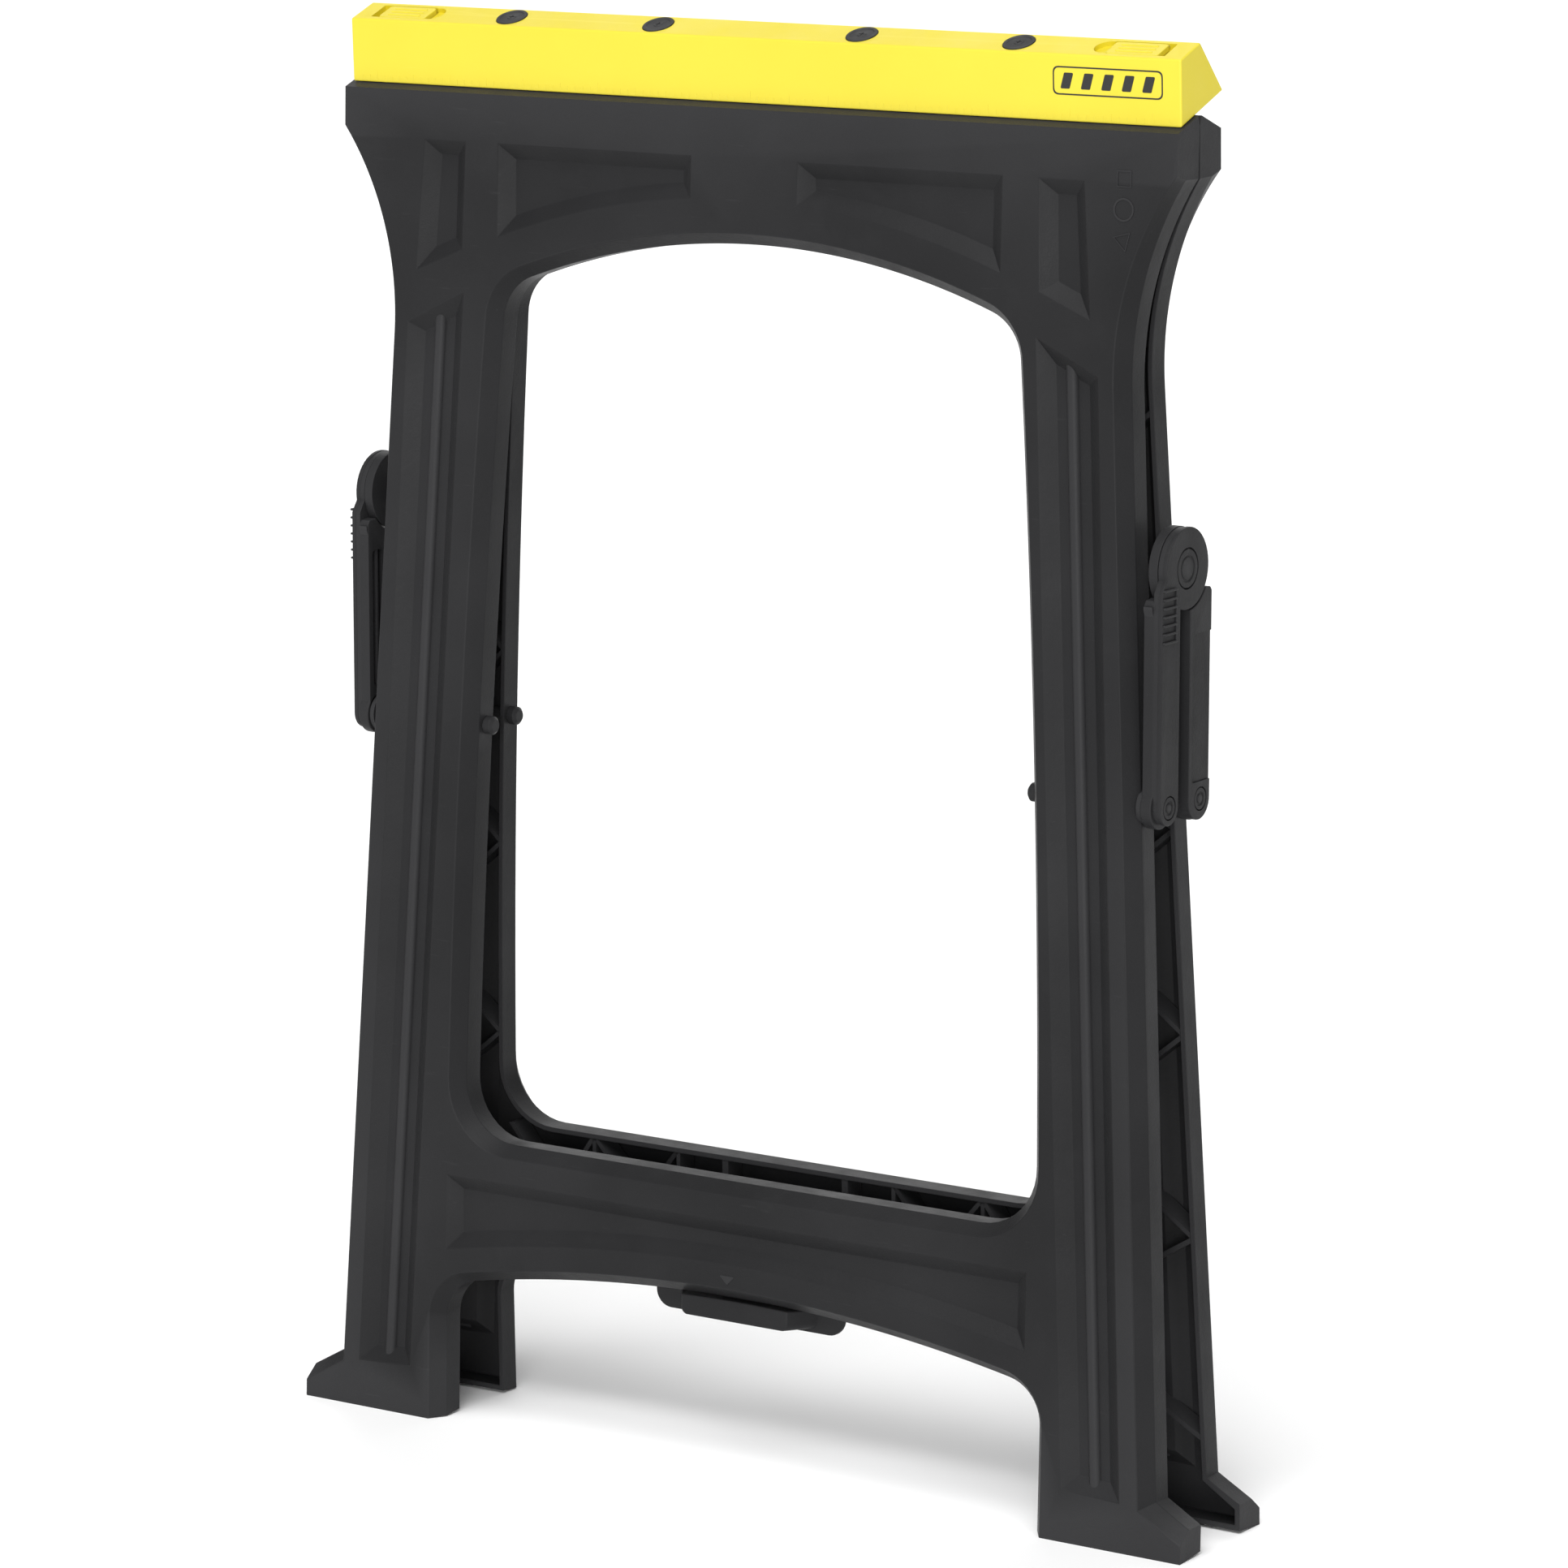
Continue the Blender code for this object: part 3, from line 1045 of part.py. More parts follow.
def main():
    clear_scene()
    new_collection(PARTS)
    new_collection(CUTTERS)
    black = material("black_moulding", (0.030, 0.030, 0.032), 0.55)
    yellow = material("yellow_moulding", (0.95, 0.78, 0.06), 0.5)
    rubber = material("black_rubber", (0.02, 0.02, 0.02), 0.8)
    steel = material("zinc_steel", (0.6, 0.6, 0.62), 0.35, 1.0)
    hinge_height = (SOLE_DROP + HINGE_ABOVE_TOP) * cos(FOLDED_LEAN)
    hinge_height -= (PANEL_DEPTH + PARTING_GAP / 2) * sin(FOLDED_LEAN)
    axis = Matrix.Translation((0, 0, hinge_height))
    lean = Matrix.Rotation(-FOLDED_LEAN, 4, "X")
    front = frame_empty("front_frame", axis @ lean)
    rear = frame_empty("rear_frame", axis @ Matrix.Rotation(pi, 4, "Z") @ lean)
    seat = Vector((0, -PANEL_DEPTH - PARTING_GAP / 2 + BEAM_LEDGE, seat_height(PANEL_DEPTH - BEAM_LEDGE)))
    turn = Matrix.Rotation(SEAT_SLOPE, 4, "X")
    beam_place = Matrix.Translation(seat) @ turn @ Matrix.Translation((0, 0, FIT_GAP))
    beam_frame = frame_empty("beam_frame", beam_place, front)
    leg_panel("front_leg_panel", front, beam_frame, black, FRONT_BARRELS, REAR_BARRELS)
    leg_panel("rear_leg_panel", rear, None, black, REAR_BARRELS, FRONT_BARRELS)
    hinge_rod(front, steel)
    top_beam(beam_frame, yellow)
    beam_pads(beam_frame, rubber)
    end_stops(beam_frame, yellow, steel)
    beam_screws(beam_frame, steel)
    braces(front, rear, hinge_height, black)
    latch(front, black, steel)


main()
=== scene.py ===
import json
from math import asin, atan, atan2, cos, pi, radians, sin, sqrt, tan

import bmesh
import bpy
from mathutils import Matrix, Vector


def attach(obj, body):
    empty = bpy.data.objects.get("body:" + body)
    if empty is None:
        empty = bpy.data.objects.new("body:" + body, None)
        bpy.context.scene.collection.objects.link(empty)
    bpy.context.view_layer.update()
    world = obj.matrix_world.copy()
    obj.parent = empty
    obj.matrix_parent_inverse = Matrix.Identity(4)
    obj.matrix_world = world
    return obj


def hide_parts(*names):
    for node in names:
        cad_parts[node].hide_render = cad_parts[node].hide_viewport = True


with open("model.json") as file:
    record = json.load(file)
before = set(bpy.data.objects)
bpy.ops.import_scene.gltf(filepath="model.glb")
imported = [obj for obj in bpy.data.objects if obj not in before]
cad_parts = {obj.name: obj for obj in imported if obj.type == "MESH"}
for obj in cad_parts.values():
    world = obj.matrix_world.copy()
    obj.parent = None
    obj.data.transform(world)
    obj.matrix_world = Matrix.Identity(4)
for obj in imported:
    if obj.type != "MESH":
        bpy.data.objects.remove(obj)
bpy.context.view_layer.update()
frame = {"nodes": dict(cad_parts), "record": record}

# Looks of a folding sawhorse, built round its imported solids. Lengths are in millimetres here and
# are brought to metres as each piece is placed. Each leg panel is drawn in its own frame: x along
# the hinge, depth in front of the parting plane, drop below the hinge axis.

joints = {joint["name"]: joint for joint in frame["record"]["behaviour"]["joints"]}
METRES = Matrix.Diagonal((0.001, 0.001, 0.001, 1))


def joint_place(name):
    return Vector(joints[name]["pos_m"]) * 1000


FOLDED_LEAN = radians(1.6)     # each panel, folded and standing
OPEN_LEAN = radians(19.7)      # each panel, braces straight
SEAT_SLOPE = radians(22.8)     # of the beam's seat across the header
RIM = 0.15                     # each rim stands this far off the hinge plane
HINGE_ABOVE_TOP = 1.5          # hinge axis above the datum at the top of the face
LEAN_TURN = Matrix.Rotation(-FOLDED_LEAN, 4, "X")
HINGE = Matrix.Translation(joint_place("leg_fold"))
FRONT = HINGE @ LEAN_TURN
REAR = HINGE @ Matrix.Rotation(pi, 4, "Z") @ LEAN_TURN

# Leg panel
DEPTH = 22
WALL = 3
CHAMFER_WIDE = 6.5
CHAMFER_DEEP = 9
PANEL_TOP = 1.8
SOLE_DROP = 760
SOLE_RISE = radians(6.5)
HEADER_HALF = 268.4
HEADER_CORNER = 26
CORNER_LIFT = 0.4          # the face outline leaves the header this share of its inset higher
WAIST_HALF = 239.4
WAIST_DROP = 128
POST_FLARE = 0.0537
TOE_START = 731
TOE_LIFT = 0.6             # the face outline meets the toe this share of its inset lower
TOE_HALF = 292
TOE_CORNER = 742.7
FOOT_INNER = 198
FOOT_FILLET = 24
UNDER_RADIUS = 944
UNDER_APEX = 659.7
WINDOW_SHIFT = 3.5
WINDOW_APEX = 75.1
WINDOW_ARCH = 435
WINDOW_HALF = 168.5
WINDOW_FLARE = 0.049
WINDOW_BOW = 3.2
WINDOW_SILL = 593.7
WINDOW_REFERENCE = 140     # drop at which WINDOW_HALF holds
WINDOW_LOW_FILLET = 34
WINDOW_TOP_FILLET = 28
SILL_END = 172             # where a post's ribs end across the crossbar
SINK_DEPTH = 6
SINK_SLOPE = 8.6
POST_RIB_TOP = 150
POST_RIB_STEP = 56
SILL_RIB_START = 72
SILL_RIB_BAY = 58
RIDGE_WIDE = 7
RIDGE_HIGH = 3
RIDGE_END = 3.5
EDGE_ROUND = 1.3           # of the moulding's outer edges
PIVOT_DROP = 358           # of the braces' lower pivots below the hinge axis
PIVOT_LINE = (-6.35, -PIVOT_DROP)
FILLET_STEPS = 10
ARCH_STEPS = 40
SIDE_STEPS = 14

# Beam
BEAM_HALF = 267
BEAM_BASE = 46.2
BEAM_TOP_START = 11.3
BEAM_TOP_WIDE = 21.6
BEAM_HIGH = 33.4
BEAM_WALL = 2.8
TOP_MIDDLE = BEAM_TOP_START + BEAM_TOP_WIDE / 2
BEAM_LEDGE = 5.7           # set back from the panel's face
BEAM_CLEAR = 0.3           # above its seat
BEAM_RIBS = (-190, -95, 0, 95, 190)
PAD_PLACES = (-163.5, -65.7, 65.7, 163.5)
STOP_INNER = 219
STOP_OUTER = 251
STOP_HALF = 7
STOP_THICK = 3.2
SEAT = Vector((0, -DEPTH - RIM + BEAM_LEDGE, BEAM_LEDGE * tan(SEAT_SLOPE) - PANEL_TOP - HINGE_ABOVE_TOP))
BEAM = (FRONT @ Matrix.Translation(SEAT) @ Matrix.Rotation(SEAT_SLOPE, 4, "X")
        @ Matrix.Translation((0, 0, BEAM_CLEAR)))

# Braces
BRACE_OUT = 264.6
BRACE_IN = 253.3
EYE = 22                   # radius of the eye round the knuckle
ARM_OUTER = 9.7            # from the lower pivot to the outer edge of either arm
FRONT_ARM_INNER = 9.3      # from the lower pivot to the inner edge
REAR_ARM_INNER = 12.6
GRIP_TOP = -8.5
GRIP_RIBS = 7
GRIP_PITCH = 4.6
GRIP_WIDE = 14
LOWER_PIVOT = joint_place("front_arm_right_turn")
KNUCKLE = joint_place("knuckle_right_turn")
PIVOT_OFF = KNUCKLE.y - LOWER_PIVOT.y
PIVOT_LOW = LOWER_PIVOT.z - KNUCKLE.z


# ------------------------------------------------------------------ mesh helpers

def finish(name, bm, body, finish_name, stands_for=(), where=None, sharp=28, weighted=True):
    """Places a finished bmesh in the row frame as a piece that rides on a body."""
    bmesh.ops.remove_doubles(bm, verts=bm.verts, dist=1e-4)
    bmesh.ops.recalc_face_normals(bm, faces=bm.faces)
    bmesh.ops.transform(bm, matrix=METRES @ (where or Matrix()), verts=bm.verts)
    mesh = bpy.data.meshes.new(name)
    bm.to_mesh(mesh)
    bm.free()
    mesh.shade_smooth()
    mesh.set_sharp_from_angle(angle=radians(sharp))
    piece = bpy.data.objects.new(name, mesh)
    bpy.context.scene.collection.objects.link(piece)
    mesh.materials.append(MATERIALS[finish_name])
    if weighted:
        normals = piece.modifiers.new("even_normals", "WEIGHTED_NORMAL")
        normals.keep_sharp = True
    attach(piece, body)
    if stands_for:
        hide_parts(*stands_for)
    return piece


def joined(target, *others):
    """Adds the shapes of other bmeshes to a target and frees them."""
    for other in others:
        scrap = bpy.data.meshes.new("scrap")
        other.to_mesh(scrap)
        other.free()
        target.from_mesh(scrap)
        bpy.data.meshes.remove(scrap)
    return target


def cut(bm, *tools, operation="DIFFERENCE"):
    """The bmesh after one exact Boolean with the tools, which are used up."""
    holders = []
    for source in (bm, joined(bmesh.new(), *tools)):
        bmesh.ops.recalc_face_normals(source, faces=source.faces)
        mesh = bpy.data.meshes.new("scrap")
        source.to_mesh(mesh)
        source.free()
        holder = bpy.data.objects.new("scrap", mesh)
        bpy.context.scene.collection.objects.link(holder)
        holders.append(holder)
    step = holders[0].modifiers.new("cut", "BOOLEAN")
    step.operation = operation
    step.object = holders[1]
    step.solver = "EXACT"
    bpy.context.view_layer.update()
    done = bpy.data.meshes.new_from_object(holders[0].evaluated_get(bpy.context.evaluated_depsgraph_get()))
    result = bmesh.new()
    result.from_mesh(done)
    for holder in holders:
        mesh = holder.data
        bpy.data.objects.remove(holder)
        bpy.data.meshes.remove(mesh)
    bpy.data.meshes.remove(done)
    return result


def box(low, high):
    bm = bmesh.new()
    low, high = Vector(low), Vector(high)
    place = Matrix.Translation((low + high) / 2) @ Matrix.Diagonal((*(high - low), 1))
    bmesh.ops.create_cube(bm, size=1, matrix=place)
    return bm


def rod(axis, start, end, radius, at=(0, 0), steps=40, end_radius=None):
    """A rod along axis X, Y or Z between two places, at a point of the other two axes."""
    bm = bmesh.new()
    turn = {"X": Matrix.Rotation(pi / 2, 4, "Y"), "Y": Matrix.Rotation(-pi / 2, 4, "X"), "Z": Matrix()}[axis]
    middle = (start + end) / 2
    spot = {"X": (middle, *at), "Y": (at[0], middle, at[1]), "Z": (*at, middle)}[axis]
    bmesh.ops.create_cone(bm, cap_ends=True, segments=steps, radius1=radius,
                          radius2=radius if end_radius is None else end_radius,
                          depth=abs(end - start), matrix=Matrix.Translation(spot) @ turn)
    return bm


def prism(axis, outline, start, end):
    """A closed outline in the plane across an axis, pulled along it."""
    bm = bmesh.new()
    if axis == "X":
        points = [(start, a, b) for a, b in outline]
        along = (end - start, 0, 0)
    elif axis == "Y":
        points = [(a, start, b) for a, b in outline]
        along = (0, end - start, 0)
    else:
        points = [(a, b, start) for a, b in outline]
        along = (0, 0, end - start)
    face = bm.faces.new([bm.verts.new(point) for point in points])
    pulled = bmesh.ops.extrude_face_region(bm, geom=[face])["geom"]
    bmesh.ops.translate(bm, verts=[v for v in pulled if isinstance(v, bmesh.types.BMVert)], vec=along)
    bmesh.ops.recalc_face_normals(bm, faces=bm.faces)
    return bm


def softened(bm, width, segments=3, least=30):
    """Rounds every edge that turns by more than the least angle."""
    bmesh.ops.recalc_face_normals(bm, faces=bm.faces)
    edges = [e for e in bm.edges if len(e.link_faces) == 2 and e.calc_face_angle(0) > radians(least)]
    bmesh.ops.bevel(bm, geom=edges, offset=width, offset_type="OFFSET", segments=segments, profile=0.5,
                    affect="EDGES", material=-1, clamp_overlap=True)
    return bm


def revolved(axis, profile, at=(0, 0), steps=48):
    """A turned piece: (place along the axis, radius) pairs, closed at both ends."""
    bm = bmesh.new()
    points = [(profile[0][0], 0), *profile, (profile[-1][0], 0)]
    if axis == "X":
        verts = [bm.verts.new((along, at[0], at[1] + radius)) for along, radius in points]
        centre, direction = (0, *at), (1, 0, 0)
    else:
        verts = [bm.verts.new((at[0] + radius, at[1], along)) for along, radius in points]
        centre, direction = (*at, 0), (0, 0, 1)
    edges = [bm.edges.new(pair) for pair in zip(verts, verts[1:])]
    bmesh.ops.spin(bm, geom=verts + edges, cent=centre, axis=direction, angle=2 * pi, steps=steps,
                   use_merge=True)
    bmesh.ops.remove_doubles(bm, verts=bm.verts, dist=1e-4)
    bmesh.ops.recalc_face_normals(bm, faces=bm.faces)
    return bm


def arc(cx, cy, radius, start, stop, steps):
    turns = [start + (stop - start) * i / steps for i in range(steps + 1)]
    return [(cx + radius * cos(a), cy + radius * sin(a)) for a in turns]


def rounded(points, radius, steps=3, closed=False):
    """A polyline with its corners rounded."""
    out = []
    count = len(points)
    for i, point in enumerate(points):
        if not closed and i in (0, count - 1):
            out.append(point)
            continue
        here = Vector(point)
        before, after = Vector(points[i - 1]) - here, Vector(points[(i + 1) % count]) - here
        turn = pi - before.angle(after)
        reach = min(radius * tan(turn / 2), before.length * 0.45, after.length * 0.45)
        a, b = here + before.normalized() * reach, here + after.normalized() * reach
        for k in range(steps + 1):
            t = k / steps
            out.append(tuple((1 - t) ** 2 * a + 2 * t * (1 - t) * here + t ** 2 * b))
    return out


def mirrored(bm):
    bmesh.ops.transform(bm, matrix=Matrix.Diagonal((-1, 1, 1, 1)), verts=bm.verts)
    bmesh.ops.reverse_faces(bm, faces=bm.faces)
    return bm


# ------------------------------------------------------------------ finishes

def node(tree, kind, **values):
    made = tree.nodes.new(kind)
    for name, value in values.items():
        if name in made.inputs:
            made.inputs[name].default_value = value
        else:
            setattr(made, name, value)
    return made


def noise(tree, space, scale, detail=2.0, rough=0.5):
    made = node(tree, "ShaderNodeTexNoise")
    made.inputs["Scale"].default_value = scale
    made.inputs["Detail"].default_value = detail
    made.inputs["Roughness"].default_value = rough
    tree.links.new(space, made.inputs["Vector"])
    return made.outputs["Fac"]


def spread(tree, value, low, high, out_low, out_high):
    made = node(tree, "ShaderNodeMapRange")
    for name, number in zip(("From Min", "From Max", "To Min", "To Max"), (low, high, out_low, out_high)):
        made.inputs[name].default_value = number
    tree.links.new(value, made.inputs["Value"])
    return made.outputs["Result"]


def mixed(tree, factor, first, second):
    """A colour between two, each a plain colour or another mix."""
    made = node(tree, "ShaderNodeMix", data_type="RGBA")
    tree.links.new(factor, made.inputs["Factor"])
    for socket, value in ((made.inputs[6], first), (made.inputs[7], second)):
        if isinstance(value, tuple):
            socket.default_value = (*value, 1)
        else:
            tree.links.new(value, socket)
    return made.outputs[2]


def summed(tree, first, second, weight):
    made = node(tree, "ShaderNodeMath", operation="MULTIPLY_ADD")
    tree.links.new(second, made.inputs[0])
    made.inputs[1].default_value = weight
    tree.links.new(first, made.inputs[2])
    return made.outputs[0]


def new_finish(name):
    made = bpy.data.materials.new(name)
    made.use_nodes = True
    tree = made.node_tree
    return made, tree, tree.nodes["Principled BSDF"], node(tree, "ShaderNodeTexCoord").outputs["Object"]


def stretched(tree, space, scale, turn=(0, 0, 0)):
    made = node(tree, "ShaderNodeMapping")
    made.inputs["Scale"].default_value = scale
    made.inputs["Rotation"].default_value = turn
    tree.links.new(space, made.inputs["Vector"])
    return made.outputs["Vector"]


def bumped(tree, shader, height, strength, distance):
    made = node(tree, "ShaderNodeBump")
    made.inputs["Strength"].default_value = strength
    made.inputs["Distance"].default_value = distance
    tree.links.new(height, made.inputs["Height"])
    tree.links.new(made.outputs["Normal"], shader.inputs["Normal"])


def grained_plastic(name, dark, light, scuff_and_edge_highlight, rough_low, rough_high, grain, scuffs, gloss):
    """Injection-moulded plastic: spark grain, soft colour drift, handling scuffs, and a painted highlight that
    lightens convex edges.
    """
    made, tree, shader, space = new_finish(name)
    drift = noise(tree, space, 7, 3)
    patches = noise(tree, space, 34, 4, 0.6)
    flow = noise(tree, stretched(tree, space, (90, 90, 7)), 1, 3, 0.6)
    colour = mixed(tree, spread(tree, drift, 0.35, 0.68, 0, 1), dark, light)
    colour = mixed(tree, spread(tree, patches, 0.56, 0.8, 0, 0.5), colour, light)
    scratch = noise(tree, stretched(tree, space, (30, 420, 420), (0.3, 0.5, 0.2)), 1, 4, 0.65)
    scuff = spread(tree, scratch, 0.66, 0.78, 0, scuffs)
    colour = mixed(tree, scuff, colour, scuff_and_edge_highlight)
    # Painted highlight: convex edges (high pointiness) are lightened towards the scuff colour, standing in for
    # light caught on the rounded edges.
    edge = node(tree, "ShaderNodeNewGeometry").outputs["Pointiness"]
    colour = mixed(tree, spread(tree, edge, 0.512, 0.56, 0, 0.35), colour, scuff_and_edge_highlight)
    tree.links.new(colour, shader.inputs["Base Color"])
    fine = noise(tree, space, 900, 3, 0.7)
    coarse = noise(tree, space, 260, 2, 0.5)
    rough = spread(tree, summed(tree, patches, flow, 0.6), 0.5, 1.1, rough_low, rough_high)
    tree.links.new(rough, shader.inputs["Roughness"])
    bumped(tree, shader, summed(tree, fine, coarse, 0.7), grain, 0.0002)
    shader.inputs["Specular IOR Level"].default_value = gloss
    return made


def pad_rubber(name):
    made, tree, shader, space = new_finish(name)
    speck = noise(tree, space, 420, 3, 0.6)
    colour = mixed(tree, speck, (0.012, 0.012, 0.013), (0.034, 0.034, 0.035))
    tree.links.new(colour, shader.inputs["Base Color"])
    tree.links.new(spread(tree, noise(tree, space, 90), 0.3, 0.7, 0.6, 0.85), shader.inputs["Roughness"])
    bumped(tree, shader, speck, 0.35, 0.0002)
    return made


def zinc_steel(name):
    made, tree, shader, space = new_finish(name)
    shader.inputs["Metallic"].default_value = 1
    brushed = noise(tree, stretched(tree, space, (40, 900, 900)), 1, 3, 0.6)
    blotch = noise(tree, space, 60, 3)
    tree.links.new(mixed(tree, blotch, (0.48, 0.48, 0.5), (0.66, 0.65, 0.6)), shader.inputs["Base Color"])
    tree.links.new(spread(tree, brushed, 0.3, 0.7, 0.24, 0.46), shader.inputs["Roughness"])
    bumped(tree, shader, brushed, 0.2, 0.0001)
    return made


def printed_ink(name):
    made, tree, shader, space = new_finish(name)
    wear = noise(tree, space, 600, 3, 0.6)
    tree.links.new(mixed(tree, wear, (0.006, 0.006, 0.006), (0.02, 0.02, 0.018)), shader.inputs["Base Color"])
    tree.links.new(spread(tree, wear, 0.3, 0.7, 0.35, 0.5), shader.inputs["Roughness"])
    bumped(tree, shader, wear, 0.1, 0.0001)
    return made


# The third colour of each plastic serves both the handling scuffs and the painted highlight on convex edges.
MATERIALS = {
    "black": grained_plastic("black_grained_plastic", (0.0140, 0.0140, 0.0147), (0.0205, 0.0205, 0.0215),
                             (0.045, 0.045, 0.047), 0.34, 0.52, 0.55, 0.3, 0.09),
    "yellow": grained_plastic("yellow_moulded_plastic", (0.62, 0.505, 0.0155), (0.655, 0.545, 0.0225),
                              (0.72, 0.64, 0.11), 0.38, 0.55, 0.12, 0.15, 0.35),
    "rubber": pad_rubber("pad_rubber"),
    "steel": zinc_steel("zinc_plated_steel"),
    "ink": printed_ink("printed_ink"),
}


# ------------------------------------------------------------------ leg panels

def outer_half(inset):
    """Right half of the outline, from the header's corner to the middle of the underside."""
    corner = HEADER_CORNER - CORNER_LIFT * inset
    waist = WAIST_HALF - inset
    wide, high = HEADER_HALF - waist, WAIST_DROP - corner
    radius = (wide ** 2 + high ** 2) / (2 * wide)
    middle = waist + radius
    start = atan2(-high, HEADER_HALF - middle) + 2 * pi
    points = arc(middle, WAIST_DROP, radius, start, pi - atan(POST_FLARE), ARCH_STEPS)
    toe = TOE_START + TOE_LIFT * inset
    x_end, drop_end = points[-1]
    points.append((x_end + POST_FLARE * (toe - drop_end), toe))
    slope = (TOE_CORNER - TOE_START) / (TOE_HALF - points[-1][0] - inset)
    points.append((TOE_HALF, toe + slope * (TOE_HALF - points[-1][0])))
    points.append((TOE_HALF, None))
    points.append((FOOT_INNER + inset, None))
    centre = UNDER_APEX + UNDER_RADIUS
    fillet_x = FOOT_INNER - FOOT_FILLET
    fillet_drop = centre - sqrt((UNDER_RADIUS - FOOT_FILLET) ** 2 - fillet_x ** 2)
    lean = atan2(fillet_x, centre - fillet_drop)
    points += arc(fillet_x, fillet_drop, FOOT_FILLET + inset, 0, lean - pi / 2, FILLET_STEPS)
    turns = [lean * (1 - i / ARCH_STEPS) for i in range(1, ARCH_STEPS + 1)]
    points += [((UNDER_RADIUS + inset) * sin(a), centre - (UNDER_RADIUS + inset) * cos(a)) for a in turns]
    return points


def seat_height(depth):
    """Height of the header's sloping top over the hinge axis, at a depth."""
    return (DEPTH - depth) * tan(SEAT_SLOPE) - PANEL_TOP - HINGE_ABOVE_TOP


def outer_outline(inset, depth, wall=0):
    """The whole outline at a depth. A wall draws in the header's ends and top, the toes and the soles."""
    top = -seat_height(depth) + wall / cos(SEAT_SLOPE)
    sole = SOLE_DROP - (DEPTH - depth) * tan(SOLE_RISE) + HINGE_ABOVE_TOP - wall
    half = [(HEADER_HALF, top)]
    for x, drop in outer_half(inset):
        half.append((x, sole if drop is None else drop + HINGE_ABOVE_TOP))
    points = []
    for x, drop in half + [(-x, drop) for x, drop in reversed(half[:-1])]:
        limit = (HEADER_HALF if abs(drop) < WAIST_DROP else TOE_HALF) - wall
        points.append((max(-limit, min(limit, x)), -depth - RIM, -drop))
    return points


def window_half(inset):
    """Right half of the window, from the middle of the sill round to the top of the arch."""
    turned = sqrt(1 + WINDOW_FLARE ** 2)
    arch = WINDOW_APEX + WINDOW_ARCH
    low_fillet, high_fillet = WINDOW_LOW_FILLET, WINDOW_TOP_FILLET
    low = WINDOW_SILL - low_fillet
    low_x = WINDOW_HALF - low_fillet * turned + WINDOW_FLARE * (low - WINDOW_REFERENCE)
    offset = WINDOW_HALF - high_fillet * turned - WINDOW_FLARE * WINDOW_REFERENCE
    reach = WINDOW_ARCH - high_fillet
    a = 1 + WINDOW_FLARE ** 2
    b = 2 * (offset * WINDOW_FLARE - arch)
    high = (-b - sqrt(b ** 2 - 4 * a * (offset ** 2 + arch ** 2 - reach ** 2))) / (2 * a)
    high_x = offset + WINDOW_FLARE * high
    flare = atan(WINDOW_FLARE)
    lean = atan2(high_x, arch - high)
    points = [(0, WINDOW_SILL + inset)]
    points += arc(low_x, low, low_fillet + inset, pi / 2, -flare, FILLET_STEPS)
    over = arc(high_x, high, high_fillet + inset, -flare, lean - pi / 2, FILLET_STEPS)
    (x0, drop0), (x1, drop1) = points[-1], over[0]
    for i in range(1, SIDE_STEPS):
        along = i / SIDE_STEPS
        points.append((x0 + (x1 - x0) * along + 4 * WINDOW_BOW * along * (1 - along),
                       drop0 + (drop1 - drop0) * along))
    points += over
    turns = [lean * (1 - i / ARCH_STEPS) for i in range(1, ARCH_STEPS + 1)]
    return points + [((WINDOW_ARCH + inset) * sin(t), arch - (WINDOW_ARCH + inset) * cos(t)) for t in turns]


def window_outline(inset, depth, wall=0):
    """The whole window at a depth. Its wall is part of the inset."""
    right = window_half(inset)
    points = right + [(-x, drop) for x, drop in reversed(right[1:-1])]
    return [(x + WINDOW_SHIFT, -depth - RIM, -drop - HINGE_ABOVE_TOP) for x, drop in points]


BIG_SINK_NEAR = 34.3
BIG_SINK_FAR = 163
BIG_SINK_TOP = 28.6
BIG_SINK_MARGIN = 24.8
SILL_SINK_HALF = 193
SILL_SINK_TOP = 614.6
SILL_SINK_MARGIN = 20.5
POST_SINK = ((185.5, 112), (224, 130.5), (253.8, 732.6), (217.5, 731))
SMALL_SINK = ((185, 28.6), (213, 28.6), (218.4, 101.5), (186.8, 88.4))


def shrunk(corners, inset):
    """The corners of a convex outline, (x, drop) clockwise as seen from the front, drawn in."""
    out = []
    for i, corner in enumerate(corners):
        here = Vector(corner)
        before, after = here - Vector(corners[i - 1]), Vector(corners[(i + 1) % len(corners)]) - here
        first, second = Vector((-before.y, before.x)).normalized(), Vector((-after.y, after.x)).normalized()
        out.append(tuple(here + inset * (first + second) / (1 + first.dot(second))))
    return out


def sink_outlines(inset=0):
    """The closed (x, drop) outlines of the sunk panels, drawn in by an inset."""
    found = []
    for corners in (POST_SINK, SMALL_SINK):
        right = shrunk(corners, inset)
        found += [right, [(-x, drop) for x, drop in right]]
    arch = WINDOW_APEX + WINDOW_ARCH
    near, far, top = BIG_SINK_NEAR + inset, BIG_SINK_FAR - inset, BIG_SINK_TOP + inset
    radius = WINDOW_ARCH + BIG_SINK_MARGIN + inset
    steps = [far + (near - far) * i / 20 for i in range(21)]
    big = [(near, top), (far, top)] + [(x, arch - sqrt(radius ** 2 - x ** 2)) for x in steps]
    found += [big, [(-x, drop) for x, drop in big]]
    centre, half = UNDER_APEX + UNDER_RADIUS, SILL_SINK_HALF - inset
    radius = UNDER_RADIUS + SILL_SINK_MARGIN + inset
    steps = [half * (1 - i / 20) for i in range(41)]
    sill_top = SILL_SINK_TOP + inset
    sill = [(-half, sill_top), (half, sill_top)]
    found.append(sill + [(x, centre - sqrt(radius ** 2 - x ** 2)) for x in steps])
    return found


